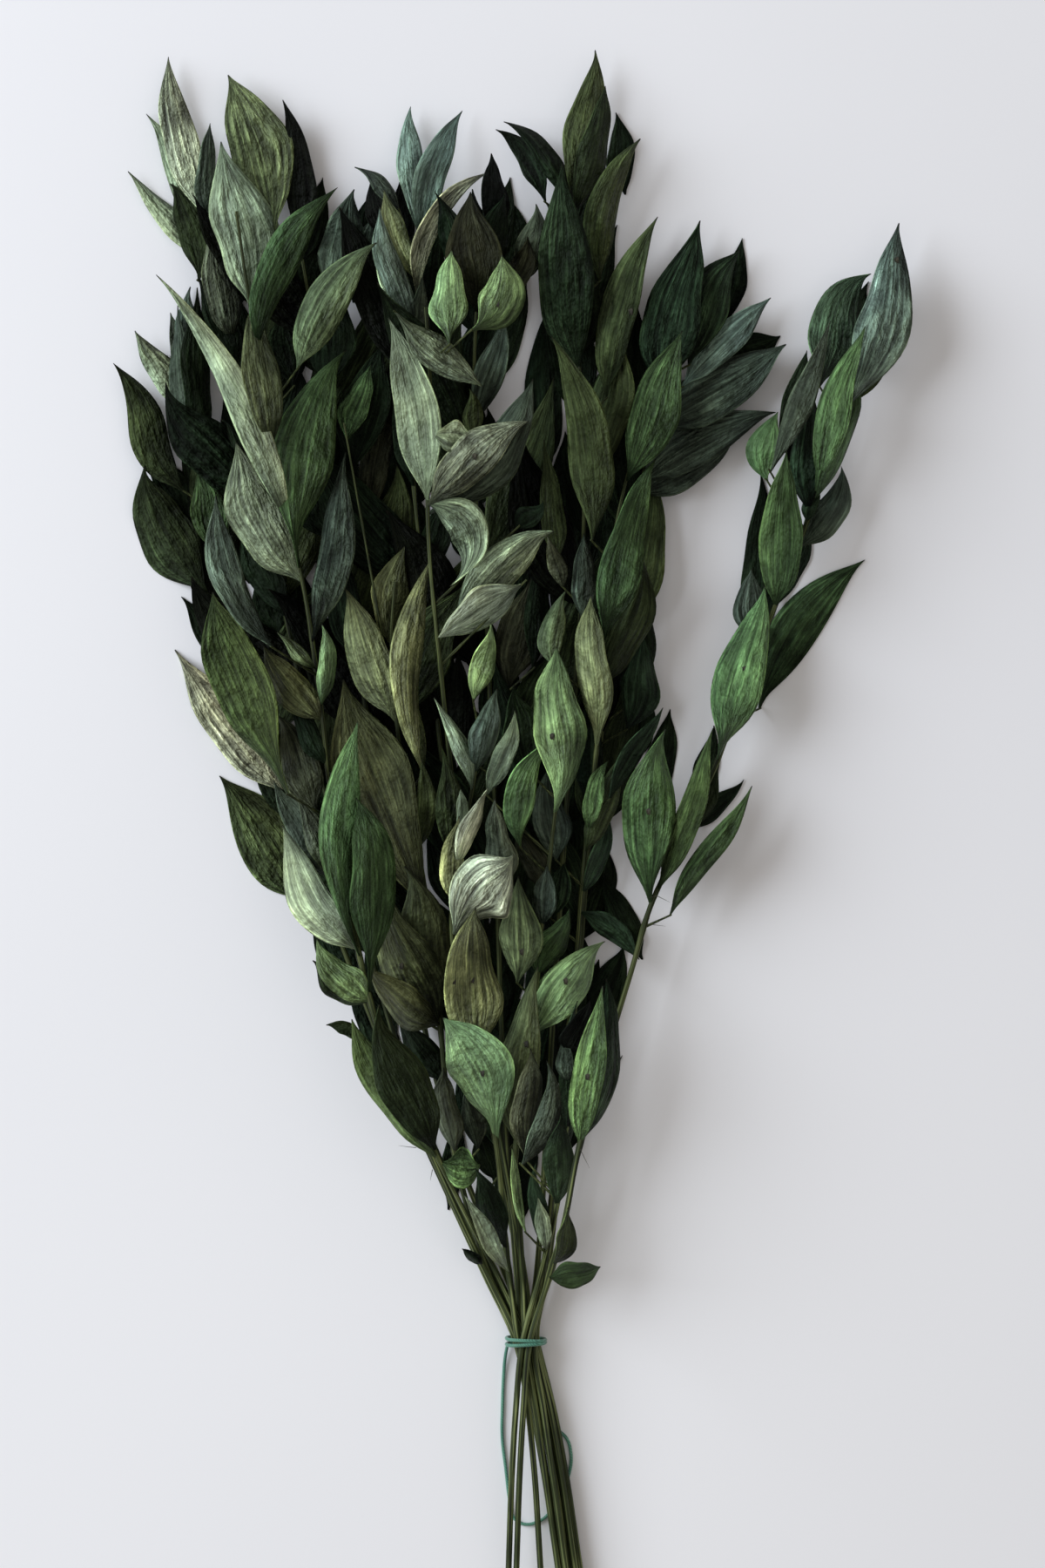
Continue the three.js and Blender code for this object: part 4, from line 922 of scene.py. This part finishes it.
def leaf_finish():
    """Preserved leaf: the blade's own tone under veins, pleats and wear, with painted shade towards its
    stalk, a painted highlight on its margins and brown at its dry tip.
    """
    material, tree, shader = new_finish("preserved_leaf")
    along_veins = add_node(tree, "UVMap", uv_map="veins").outputs["UV"]
    on_blade = add_node(tree, "SeparateXYZ")
    tree.links.new(add_node(tree, "UVMap", uv_map="UVMap").outputs["UV"], on_blade.inputs["Vector"])
    body = add_node(tree, "TexCoord").outputs["Object"]
    tone = add_node(tree, "Attribute", attribute_name="tone").outputs["Color"]
    wear = add_node(tree, "Attribute", attribute_name="wear").outputs["Fac"]

    fine = noise_on(tree, mapped(tree, along_veins, (14, 4, 1)), 1.0, 4.0, 0.7)
    pleats = noise_on(tree, mapped(tree, along_veins, (6, 4, 1)), 1.0, 2.0)
    crumple = noise_on(tree, mapped(tree, along_veins, (3.6, 12, 1)), 1.0, 3.0, 0.6)
    mottle = noise_on(tree, body, 300.0, 3.0, 0.65)
    clouds = noise_on(tree, body, 46.0, 3.0)
    # Painted shade and highlight: the streaks mix the blade's own faded colour with the pleat and crumple
    # noise that also makes its bumps, so its colour darkens and lightens with its relief.
    streaks_and_crease_light = weighed(tree, (fine, 0.46), (pleats, 0.2), (crumple, 0.2), (clouds, 0.14))
    uneven = sums(tree, "SUBTRACT", streaks_and_crease_light, 0.5)
    contrast = ranged(tree, wear, 0.0, 1.0, 13.0, 21.0)
    value = sums(tree, "POWER", 2.0, sums(tree, "MULTIPLY", uneven, contrast))
    shaded = add_node(tree, "VectorMath", operation="SCALE")
    tree.links.new(tone, shaded.inputs["Vector"])
    tree.links.new(value, shaded.inputs["Scale"])
    skin = shaded.outputs["Vector"]

    yellowing = ranged(tree, noise_on(tree, body, 24.0, 2.0), 0.45, 0.7, 0.0, 0.2)
    skin = blended(tree, yellowing, skin, (1.25, 1.1, 0.66, 1.0), "MULTIPLY")
    side = sums(tree, "ABSOLUTE", sums(tree, "SUBTRACT", on_blade.outputs["X"], 0.5), 0.0)
    # Painted highlight: the outermost margins of each blade are made lighter, as edges that catch the
    # light.
    rim_highlight = ranged(tree, side, 0.45, 0.49, 0.0, 0.6)
    skin = blended(tree, rim_highlight, skin, (1.8, 1.8, 1.5, 1.0), "MULTIPLY")
    midrib = ranged(tree, side, 0.012, 0.035, 0.55, 0.0)
    skin = blended(tree, midrib, skin, (0.55, 0.6, 0.5, 1.0), "MULTIPLY")
    # Painted shade: each blade darkens towards its stalk, where it lies by the stem under other leaves.
    stalk = ranged(tree, on_blade.outputs["Y"], 0.02, 0.38, 0.6, 0.0)
    skin = blended(tree, stalk, skin, (0.35, 0.38, 0.32, 1.0), "MULTIPLY")
    dry_tip = ranged(tree, on_blade.outputs["Y"], 0.92, 0.985, 0.0, 0.9)
    skin = blended(tree, dry_tip, skin, colour(38, 37, 28))
    tree.links.new(skin, shader.inputs["Base Color"])

    relief = weighed(tree, (fine, 0.4), (pleats, 0.8), (crumple, 2.0), (mottle, 0.1))
    bump = add_node(tree, "Bump", inputs={"Distance": 0.007})
    tree.links.new(ranged(tree, wear, 0.0, 1.0, 0.65, 1.0), bump.inputs["Strength"])
    tree.links.new(relief, bump.inputs["Height"])
    tree.links.new(bump.outputs["Normal"], shader.inputs["Normal"])
    tree.links.new(ranged(tree, fine, 0.35, 0.65, 0.6, 0.42), shader.inputs["Roughness"])
    tree.links.new(ranged(tree, tone, 0.01, 0.25, 0.06, 0.4), shader.inputs["Specular IOR Level"])
    return material


def stem_finish():
    """Ridged green-brown bark: dark furrows and paler ridges that run along the stem, and painted shade on
    its upper part, where it runs under the leaves.
    """
    material, tree, shader = new_finish("ridged_stem")
    body = add_node(tree, "TexCoord").outputs["Object"]
    round_stem = add_node(tree, "UVMap", uv_map="UVMap").outputs["UV"]
    ridges = noise_on(tree, mapped(tree, round_stem, (7, 9, 1)), 1.0, 2.0)
    stains = noise_on(tree, body, 30.0, 3.0)
    ramp = ramp_of(tree, (0.38, colour(18, 24, 12)), (0.5, colour(56, 66, 36)),
                   (0.61, colour(128, 138, 88)))
    tree.links.new(weighed(tree, (ridges, 0.75), (stains, 0.25)), ramp.inputs["Fac"])
    place = add_node(tree, "SeparateXYZ")
    tree.links.new(body, place.inputs["Vector"])
    # Painted shade: the stems are darkened from a little above the tie towards their tops, where the
    # leaves shade them.
    painted_leaf_zone_shade = ranged(tree, place.outputs["Y"], -0.18, -0.04, 0.0, 0.85)
    bark = blended(tree, painted_leaf_zone_shade, ramp.outputs["Color"], (0.4, 0.42, 0.34, 1.0), "MULTIPLY")
    tree.links.new(bark, shader.inputs["Base Color"])
    bump = add_node(tree, "Bump", inputs={"Strength": 0.8, "Distance": 0.0004})
    tree.links.new(ridges, bump.inputs["Height"])
    tree.links.new(bump.outputs["Normal"], shader.inputs["Normal"])
    shader.inputs["Roughness"].default_value = 0.6
    shader.inputs["Specular IOR Level"].default_value = 0.2
    return material


def stalk_finish():
    """The stalks of the leaves: dark green and smooth."""
    material, tree, shader = new_finish("leaf_stalk")
    body = add_node(tree, "TexCoord").outputs["Object"]
    ramp = ramp_of(tree, (0.35, colour(22, 28, 16)), (0.7, colour(48, 60, 34)))
    tree.links.new(noise_on(tree, body, 60.0, 2.0), ramp.inputs["Fac"])
    tree.links.new(ramp.outputs["Color"], shader.inputs["Base Color"])
    shader.inputs["Roughness"].default_value = 0.6
    shader.inputs["Specular IOR Level"].default_value = 0.2
    return material


def bract_finish():
    """Dry, nearly black-brown scraps: bristles, bud scars and spines."""
    material, tree, shader = new_finish("dry_bract")
    body = add_node(tree, "TexCoord").outputs["Object"]
    ramp = ramp_of(tree, (0.35, colour(24, 24, 18)), (0.7, colour(62, 60, 42)))
    tree.links.new(noise_on(tree, body, 500.0, 3.0), ramp.inputs["Fac"])
    tree.links.new(ramp.outputs["Color"], shader.inputs["Base Color"])
    shader.inputs["Roughness"].default_value = 0.7
    return material


leaf_skin = leaf_finish()
stem_bark = stem_finish()
stalk_bark = stalk_finish()
bract_skin = bract_finish()


# --- The blade blank -------------------------------------------------------------------------------
# One flat blade, modelled once and again for the narrow ones: a grid drawn in, row by row, to a ruscus
# blade's outline, from its stalk over its widest part to the fine dry spine at its tip.
BLADE_COLUMNS = 6
BROAD_OUTLINE = [(0, 0.05), (0.05, 0.12), (0.1, 0.34), (0.17, 0.65), (0.26, 0.88), (0.36, 0.99),
                 (0.47, 1.0), (0.58, 0.92), (0.69, 0.75), (0.79, 0.51), (0.87, 0.28), (0.93, 0.12),
                 (0.97, 0.045), (1, 0.012)]
NARROW_OUTLINE = [(0, 0.07), (0.06, 0.17), (0.12, 0.42), (0.2, 0.7), (0.29, 0.9), (0.39, 0.99),
                  (0.49, 1.0), (0.6, 0.9), (0.7, 0.72), (0.79, 0.5), (0.87, 0.28), (0.93, 0.13),
                  (0.97, 0.05), (1, 0.015)]


def blade_blank(name, outline):
    """A flat blade of length and width 1, with its base in the middle of its lower side."""
    rows = len(outline) - 1
    bpy.ops.mesh.primitive_grid_add(x_subdivisions=BLADE_COLUMNS, y_subdivisions=rows, size=1,
                                    location=(0, 0.5, 0))
    blank = bpy.context.object
    blank.name = name
    bpy.ops.object.transform_apply(location=True)
    row_of = [round(vertex.co.y * rows) for vertex in blank.data.vertices]
    bpy.ops.object.mode_set(mode="EDIT")
    for row, (along, share) in enumerate(outline):
        bpy.ops.mesh.select_all(action="DESELECT")
        sheet = bmesh.from_edit_mesh(blank.data)
        for vertex in sheet.verts:
            vertex.select = row_of[vertex.index] == row
        bmesh.update_edit_mesh(blank.data)
        bpy.ops.transform.resize(value=(share, 1, 1), center_override=(0, row / rows, 0))
        bpy.ops.transform.translate(value=(0, along - row / rows, 0))
    bpy.ops.object.mode_set(mode="OBJECT")
    blank.data.uv_layers.new(name="veins")
    blank.data.color_attributes.new("tone", "FLOAT_COLOR", "POINT")
    blank.data.attributes.new("wear", "FLOAT", "POINT")
    blank.data.materials.append(leaf_skin)
    return blank


broad_blank = blade_blank("broad_blade", BROAD_OUTLINE)
narrow_blank = blade_blank("narrow_blade", NARROW_OUTLINE)


def smooth_between(places, values, place):
    """A value between given ones, on a curve that never swings past them."""
    i = max(n for n in range(len(places) - 1) if n == 0 or places[n] <= place)
    spans = [b - a for a, b in zip(places, places[1:])]
    slopes = [(b - a) / span for a, b, span in zip(values, values[1:], spans)]

    def tangent(n):
        if n == 0 or n == len(places) - 1:
            return slopes[min(n, len(slopes) - 1)]
        before, after = slopes[n - 1], slopes[n]
        return 0.0 if before * after <= 0 else 2 * before * after / (before + after)

    t = (place - places[i]) / spans[i]
    start, end = tangent(i) * spans[i], tangent(i + 1) * spans[i]
    return ((2 * t**3 - 3 * t**2 + 1) * values[i] + (t**3 - 2 * t**2 + t) * start
            + (3 * t**2 - 2 * t**3) * values[i + 1] + (t**3 - t**2) * end)


# --- Bending a blade to its course -----------------------------------------------------------------
# Each copy of the blank is laid along its own spine with the bends of a dried blade: halves that fold
# back from the midrib, a waved margin, a twist, a sway and a hooked tip. Then it is eased over what
# lies below it. It has its own shade of its tone, one half painted lighter and cooler as a highlight
# and the other darker as shade, and more or less wear.
THIN_BLADE = 0.5
VEIN_WIDTH = 20
VEIN_LENGTH = 100
TIP_FROM = 0.8
FULLNESS = 1.1
SKIN_CELL = 2
SKIN_GAP = 0.65
SKIN_SLOPE = 0.45
MOST_EASED = 3.5
ROOT_FREE = 6
SKIN_COLUMNS = PILE_COLUMNS * CELL // SKIN_CELL
skin_heights = [0.0] * (SKIN_COLUMNS * (PILE_ROWS * CELL // SKIN_CELL))
fray = random.Random(4)

# How much one blade differs from the next: bends as shares of its width, and shades of its tone.
FOLDED_SHARE = 0.3
FOLD_BACK = (0.04, 0.3)
FOLD_UP = (0.02, 0.16)
RUFFLE = (0.03, 0.1)
MARGIN_WAVES = (1.3, 2.6)
TWIST_OVERALL = 15
SWAY = (0.02, 0.08)
HOOK = 0.18
DIP = (-0.15, 0.3)
FULLER = (0.88, 1.14)
CRUMPLE = 0.035
MOST_CRUMPLED = 0.9
SKEW = 0.12
WAVED_EDGE = 0.1
SHADE = (0.85, 1.15)
WARMTH = (0.94, 1.06)
# Painted light: one half of each blade lighter and cooler, the other half darker, as lit and shaded
# halves.
ONE_HALF_PAINTED_LIT = (-0.2, 0.55)
ONE_HALF_PAINTED_COOL = (-0.04, 0.08)
LENGTHWISE = 0.45
SPECKLE = (0.82, 1.18)
VEIN_SHIFT = 90


def skin_cell(x, y):
    """The place in skin_heights of the square that holds a plan point."""
    return math.floor((y - PILE_Y) / SKIN_CELL) * SKIN_COLUMNS + math.floor((x - PILE_X) / SKIN_CELL)


def vein_places(mesh, width, length):
    """Stretches the second map of a blade so that its veins are as fine as on the real one."""
    shift_x, shift_y = fray.uniform(0, VEIN_SHIFT), fray.uniform(0, VEIN_SHIFT)
    plain = mesh.uv_layers["UVMap"].data
    veins = mesh.uv_layers["veins"].data
    for here, there in zip(plain, veins):
        across, along = here.uv
        there.uv = (shift_x + (across - 0.5) * width / VEIN_WIDTH, shift_y + along * length / VEIN_LENGTH)


def bend_blade(row, spine, stations, heights, flat):
    """A grid of points, row by row, of a blade bent to a leaf's course."""
    width, roll = row[4], row[6]
    start, middle, tip = spine
    first = 1 if stations[1][6] == 0 else 0
    laid = stations[first:]
    places = [station[6] for station in laid]
    inner = laid[1:-1]
    loose = 0 if flat else 1
    outline = NARROW_OUTLINE if width < NARROW_WIDTH else BROAD_OUTLINE
    folded = fray.random() < FOLDED_SHARE
    fold = [loose * width * (-fray.uniform(*FOLD_UP) if folded else fray.uniform(*FOLD_BACK))
            for side in (0, 1)]
    ruffle = [loose * width * fray.uniform(*RUFFLE) for side in (0, 1)]
    beats = [fray.uniform(*MARGIN_WAVES) for side in (0, 1)]
    phases = [fray.uniform(0, 2 * math.pi) for side in (0, 1)]
    twist = loose * fray.uniform(-TWIST_OVERALL, TWIST_OVERALL)
    sway = loose * width * fray.uniform(*SWAY) * fray.choice((-1, 1))
    hook, dip = loose * width * fray.uniform(-HOOK, HOOK), loose * width * fray.uniform(*DIP)
    fuller = fray.uniform(*FULLER)
    crumple, skew = loose * min(MOST_CRUMPLED, CRUMPLE * width), loose * fray.uniform(-SKEW, SKEW)
    if len(row) > 8:
        sway = row[8]
    if len(row) > 9:
        fuller = row[9]
    grid = []
    for row_place, share in outline:
        u = row_place**fuller
        held = min(max(u, inner[0][6]), inner[-1][6])
        tilt = smooth_between([station[6] for station in inner], [station[3] for station in inner], held)
        tilt += twist * (2 * u - 1)
        lifts = [smooth_between(places, [station[n] for station in laid], u) for n in (4, 5)]
        half = FULLNESS * share * width / 2 / math.cos(math.radians(roll))
        run = [mix(b - a, d - c, u) for a, b, c, d in zip(start, middle, middle, tip)]
        left = (-run[1] / math.hypot(*run), run[0] / math.hypot(*run))
        swell = math.sin(math.pi * u) ** 0.7 if 0 < u < 1 else 0
        end = max(0, (u - TIP_FROM) / (1 - TIP_FROM)) ** 2
        aside = sway * math.sin(2 * math.pi * u) + hook * end
        x, y = bent(start, middle, tip, u)
        z = smooth_between(places, heights[first:], u) - dip * end
        line = []
        for column in range(BLADE_COLUMNS + 1):
            side = 1 - 2 * column / BLADE_COLUMNS
            edge, hand = abs(side), 0 if side > 0 else 1
            wave = math.sin(2 * math.pi * beats[hand] * u + phases[hand])
            reach = half * (1 + WAVED_EDGE * loose * wave * swell + skew * side)
            out_x, out_y, up = across_blade(left, reach, tilt, [lift * edge**0.3 for lift in lifts], side)
            up -= swell * share * fold[hand] * edge**1.4 + swell * ruffle[hand] * edge**2 * (1 - wave)
            up += swell * crumple * fray.uniform(-1, 1)
            line.append((x + out_x + aside * left[0], y + out_y + aside * left[1], z + up))
        grid.append(line)
    return grid


def ease_blade(grid):
    """Raises a blade where it would pass through what lies below it, with no sharp step."""
    root = grid[0][BLADE_COLUMNS // 2]
    raised = []
    for line in grid:
        needs = []
        for x, y, z in line:
            free = math.dist(root[:2], (x, y)) < ROOT_FREE
            below = skin_heights[skin_cell(x, y)] + SKIN_GAP
            needs.append(0 if free else min(MOST_EASED, max(0, below - z)))
        raised.append(needs)
    for again in range(3):
        for i, line in enumerate(grid):
            for j, point in enumerate(line):
                for near_i, near_j in ((i - 1, j), (i + 1, j), (i, j - 1), (i, j + 1)):
                    if 0 <= near_i < len(grid) and 0 <= near_j < len(line):
                        step = SKIN_SLOPE * math.dist(point[:2], grid[near_i][near_j][:2])
                        raised[i][j] = max(raised[i][j], raised[near_i][near_j] - step)
    lowest = THIN_BLADE / 2 + 0.05
    return [[(x, y, max(lowest, z + rise)) for (x, y, z), rise in zip(line, needs)]
            for line, needs in zip(grid, raised)]


def cover_skin(grid):
    """Raises the skin of the bunch to a blade that was laid on it."""
    for upper, lower in zip(grid, grid[1:]):
        for j in range(BLADE_COLUMNS):
            for t in (0, 0.33, 0.67):
                for s in (0, 0.5):
                    one = mix_points(upper[j], upper[j + 1], s)
                    other = mix_points(lower[j], lower[j + 1], s)
                    x, y, z = mix_points(one, other, t)
                    cell = skin_cell(x, y)
                    skin_heights[cell] = max(skin_heights[cell], z)


def make_blade(row, grid):
    """A copy of the blank that is laid over the points."""
    width = row[4]
    narrow = width < NARROW_WIDTH
    outline = NARROW_OUTLINE if narrow else BROAD_OUTLINE
    mesh = (narrow_blank if narrow else broad_blank).data.copy()
    lines = {round(along, 3): line for (along, share), line in zip(outline, grid)}
    shares = {round(along, 3): share for along, share in outline}
    shade, warmth = fray.uniform(*SHADE), fray.uniform(*WARMTH)
    painted_lit_half, lengthwise = fray.uniform(*ONE_HALF_PAINTED_LIT), fray.uniform(-LENGTHWISE, LENGTHWISE)
    painted_cool_half = fray.uniform(*ONE_HALF_PAINTED_COOL)
    red, green, blue = colour(*TONES[row[7]])[:3]
    tones = []
    for vertex in mesh.vertices:
        along = round(vertex.co.y, 3)
        column = round((0.5 + vertex.co.x / shares[along]) * BLADE_COLUMNS)
        vertex.co = at(*lines[along][column])
        side = 1 - 2 * column / BLADE_COLUMNS
        # Painted light and shade: one half of the blade lighter and cooler, the other half darker.
        bright = shade * (1 + painted_lit_half * side + lengthwise * (2 * along - 1)) * fray.uniform(*SPECKLE)
        warm = warmth * (1 - painted_cool_half * side)
        tones.extend((red * bright * warm, green * bright, blue * bright / warm, 1.0))
    vein_places(mesh, width, math.dist(row[:2], row[2:4]))
    mesh.color_attributes["tone"].data.foreach_set("color", tones)
    mesh.attributes["wear"].data.foreach_set("value", [fray.random()] * len(mesh.vertices))
    blade = bpy.data.objects.new("blade", mesh)
    bpy.context.collection.objects.link(blade)
    return blade


# --- Stems and petioles ----------------------------------------------------------------------------
# A stem is a smooth curve through its knots, thinner towards its top and swollen where a leaf grows
# from it. A blade that stands off its stem has a thin stalk.
STEM_STEP = 7
NODE_REACH = 2.5
NODE_SWELL = 0.28
TOP_THINNING = 0.5
PETIOLE_THICKNESS = 1.1
PETIOLE_PLACES = (0, 0.5, 1.06)  # the last one lies inside the blade
PETIOLE_TAPER = (1.3, 1.0, 0.8)
OFF_SURFACE = 1.1


def along_stem(knots, t):
    """A point on the smooth curve through the knots."""
    i = min(len(knots) - 2, int(t))
    t -= i
    a, b, c, d = (knots[min(max(n, 0), len(knots) - 1)] for n in (i - 1, i, i + 1, i + 2))
    return tuple(0.5 * (2 * q + (r - p) * t + (2 * p - 5 * q + 4 * r - s) * t * t
                        + (3 * q - p - 3 * r + s) * t**3) for p, q, r, s in zip(a, b, c, d))


def make_stem(name, knots, roots, petioles):
    """A stem with the stalks of its leaves, as one mesh."""
    stem = new_curve(name, 2 * STEM_RADIUS, 12)
    stem.data.resolution_u = 2
    count = round((len(knots) - 1) * KNOT_SPACING / STEM_STEP)
    points = [along_stem(knots, k * (len(knots) - 1) / count) for k in range(count + 1)]
    radii = []
    for point in points:
        top = max(0, point[1]) / max(1, knots[-1][1])
        near = min((math.dist(point, root) for root in roots), default=math.inf)
        swell = NODE_SWELL * math.exp(-((near / NODE_REACH) ** 2))
        radii.append((1 - TOP_THINNING * top**1.5) * (1 + swell))
    points = [(x, y, max(z, OFF_SURFACE * STEM_RADIUS * radius))
              for (x, y, z), radius in zip(points, radii)]
    smooth_spline(stem, [at(*point) for point in points], radii)
    for root, base in petioles:
        ends = [mix_points(root, base, t) for t in PETIOLE_PLACES]
        ends = [(x, y, max(z, PETIOLE_THICKNESS)) for x, y, z in ends]
        thick = PETIOLE_THICKNESS / 2 / STEM_RADIUS
        smooth_spline(stem, [at(*end) for end in ends], [thick * share for share in PETIOLE_TAPER])
        stem.data.splines[-1].material_index = 1
    stem.data.materials.append(stem_bark)
    stem.data.materials.append(stalk_bark)
    bpy.ops.object.convert(target="MESH")
    return bpy.context.object


# Blades at the bottom of the bunch, coloured dark as painted shade, which close it to the light: base, tip
# and width, by stem.
DEEP_SHADE_TONE = "dark"
DEEP_LEAVES = {
    1: [(-146, 372, -178, 412, 16), (-112, 310, -146, 300, 10), (-140, 350, -168, 385, 15),
        (-146, 400, -168, 455, 13), (-130, 300, -158, 345, 16), (-112, 240, -128, 275, 14)],
    2: [(-126, 440, -133, 485, 13), (-128, 350, -134, 392, 16), (-112, 320, -126, 352, 16),
        (-60, 132, -84, 168, 15), (-112, 405, -106, 455, 15)],
    3: [(-60, 372, -60, 420, 18), (-84, 390, -88, 436, 14), (-50, 470, -38, 520, 14),
        (-80, 480, -74, 530, 15)],
    4: [(-20, 136, -2, 186, 17), (-36, 60, -30, 105, 10), (-42, 210, -20, 250, 18), (-4, 52, 2, 84, 9)],
    5: [(-8, 180, 4, 240, 22), (-16, 440, 0, 492, 15), (-2, 330, 6, 378, 16), (-6, 490, -8, 530, 14),
        (2, 145, 12, 195, 14)],
    6: [(90, 452, 118, 464, 15), (92, 470, 100, 510, 11), (82, 440, 112, 448, 14)],
    7: [(30, 430, 27, 484, 13), (22, 352, 18, 408, 14), (30, 466, 42, 516, 12), (46, 530, 42, 568, 12)],
    12: [(8, 400, 8, 478, 16), (34, 350, 36, 398, 14), (58, 240, 66, 292, 14), (50, 268, 56, 306, 12)],
    15: [(28, 140, 46, 182, 16), (54, 176, 34, 214, 13), (24, 88, 44, 132, 10), (24, 100, 34, 122, 10)],
    16: [(104, 330, 110, 402, 15), (150, 455, 157, 490, 12), (120, 340, 132, 380, 12),
        (80, 250, 88, 284, 10), (134, 396, 142, 450, 12), (84, 240, 102, 258, 9)],
}


# More of them, by a rule and in the same painted-shade tone, lie flat under the lowest stems: from where
# to where along each.
LOW_REACHES = {1: (130, 400), 2: (150, 480), 3: (150, 480), 4: (60, 490), 5: (60, 500), 6: (130, 440),
               7: (130, 510)}
LOW_STEP = 27
LOW_SPREAD = 11  # degrees between the stem and a blade's spine
LOW_LENGTH = 48
LOW_WIDTH = 17


def low_rows(number, knots):
    """Blades that lie flat under a stem, on its left and right by turns."""
    rows = []
    for n, y in enumerate(range(*LOW_REACHES.get(number, (0, 0)), LOW_STEP)):
        x, stem_angle = stem_at(knots, y)
        angle = stem_angle + math.radians(LOW_SPREAD if n % 2 else -LOW_SPREAD)
        tip = (x + LOW_LENGTH * math.cos(angle), y + LOW_LENGTH * math.sin(angle))
        rows.append((x, y, *tip, LOW_WIDTH, 0, 0, DEEP_SHADE_TONE))
    return rows


def join_pieces(pieces, name):
    """Several objects joined into one."""
    bpy.ops.object.select_all(action="DESELECT")
    for piece in pieces:
        piece.select_set(True)
    bpy.context.view_layer.objects.active = pieces[0]
    bpy.ops.object.join()
    bpy.context.object.name = name
    return bpy.context.object


def lay_spray(number, spray):
    """One leafy stem, in the order in which it is laid: leaves below, the stem, leaves above."""
    knots = stem_knots(spray)
    blades, roots, petioles, spots = [], [], [], []

    def spread_blade(row, spine, stations, heights, flat):
        grid = ease_blade(bend_blade(row, spine, stations, heights, flat))
        cover_skin(grid)
        blades.append(make_blade(row, grid))
        spots.extend(spot for line in grid for spot in line)

    def lay(row, arch, flat):
        spine, stations = lay_out_leaf(row, knots, flat)
        root = root_on(knots, row[0], row[1])[0]
        heights = leaf_heights(stations, root[2], arch, flat)
        pile_up_leaf(stations, heights)
        spread_blade(row, spine, stations, heights, flat)
        roots.append(root)
        if stations[1][6] == 0:
            petioles.append((root, (*stations[1][:2], heights[1])))

    deep = [(*place, 0, 0, DEEP_SHADE_TONE) for place in DEEP_LEAVES.get(number, [])]
    for row in deep + low_rows(number, knots):
        spine, stations = lay_out_leaf(row, knots, True)
        spread_blade(row, spine, stations, leaf_heights(stations, knots[0][2], 0, True), False)
    for row in spray.get("rest", []):
        lay(row, 0, True)
    for row in hidden_rows(spray, knots)[spray.get("bare", 0):]:
        lay(row, -ROOM_BELOW, False)
    for row in spray.get("under", []):
        lay(row, -ROOM_BELOW, False)
    pile_up_stem(knots)
    for row in spray["over"]:
        lay(row, spray["arch"], False)

    node = f"leafy_stem_{number:02d}"
    stem = make_stem(f"stem_{number:02d}", knots, roots, petioles)
    leaves = join_pieces(blades, f"leaves_{number:02d}")
    smoothing = leaves.modifiers.new("Smooth", "SUBSURF")
    smoothing.levels = smoothing.render_levels = 1
    skin = leaves.modifiers.new("Thickness", "SOLIDIFY")
    skin.thickness = THIN_BLADE * MM
    skin.offset = 0
    bpy.ops.object.modifier_apply(modifier="Smooth")
    bpy.ops.object.modifier_apply(modifier="Thickness")
    bpy.ops.object.shade_smooth()
    for piece in (leaves, stem):
        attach(piece, "root")
        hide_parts(node)
    return spots


spots = []
for number, spray in enumerate(SPRAYS, start=1):
    spots.extend(lay_spray(number, spray))
bpy.data.objects.remove(broad_blank)
bpy.data.objects.remove(narrow_blank)


# --- Bud scars and bristles ------------------------------------------------------------------------
# Ruscus flowers on the middle of its blades and leaves a small ragged dark scar there. Fine bristles
# stand at some of the stems' nodes.
SCARS = [(-125, 280), (-54, 172), (-12, 476), (-23, 404), (47, 472), (18, 494), (18, 169), (-4, 180),
         (13, 281), (-2, 138), (-24, 169), (-32, 170), (-21, 125), (28, 126), (58, 242), (173, 497),
         (166, 477), (102, 312)]
SCAR_SIZE = 1.2
SCAR_ROUGHNESS = 1.1
SCAR_SHAPE = (0.8, 1.25, 0.4)
SCAR_SEARCH = 3.5
SCAR_LIFT = 0.35
BRISTLES = [(60, 206, 55, 205), (60, 206, 66, 203), (56, 193, 64, 192), (-50, 92, -58, 93),
            (-43, 80, -44, 75), (24, 92, 29, 82)]
BRISTLE_THICKNESS = 0.35
BRISTLE_SINK = 0.8
BRISTLE_RISE = (0, 1.2, 1.4)

bpy.ops.mesh.primitive_ico_sphere_add(subdivisions=2, radius=SCAR_SIZE * MM)
scar = bpy.context.object
bpy.ops.object.mode_set(mode="EDIT")
bpy.ops.transform.vertex_random(offset=SCAR_ROUGHNESS * MM, seed=3)
bpy.ops.transform.resize(value=SCAR_SHAPE)
bpy.ops.object.mode_set(mode="OBJECT")
scar.data.materials.append(bract_skin)
scars = []
for x, y in SCARS:
    near = [spot for spot in spots if math.dist(spot[:2], (x, y)) < SCAR_SEARCH]
    if near:
        top = max(near, key=lambda spot: spot[2])
        copy = bpy.data.objects.new("scar", scar.data.copy())
        bpy.context.collection.objects.link(copy)
        copy.location = at(top[0], top[1], top[2] + SCAR_LIFT)
        scars.append(copy)
bpy.data.objects.remove(scar)
bud_scars = join_pieces(scars, "bud_scars")
bpy.ops.object.transform_apply(location=True)
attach(bud_scars, "root")

bristles = new_curve("bristles", BRISTLE_THICKNESS, 6)
for from_x, from_y, to_x, to_y in BRISTLES:
    z = pile[cell_at(from_x, from_y)] - BRISTLE_SINK
    reach = [mix(from_x, to_x, t) for t in (0, 0.5, 1)], [mix(from_y, to_y, t) for t in (0, 0.5, 1)]
    line = [at(x, y, z + rise) for x, y, rise in zip(*reach, BRISTLE_RISE)]
    smooth_spline(bristles, line, [1.0, 0.7, 0.2])
bristles.data.materials.append(bract_skin)
bpy.ops.object.convert(target="MESH")
bristles = bpy.context.object
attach(bristles, "root")
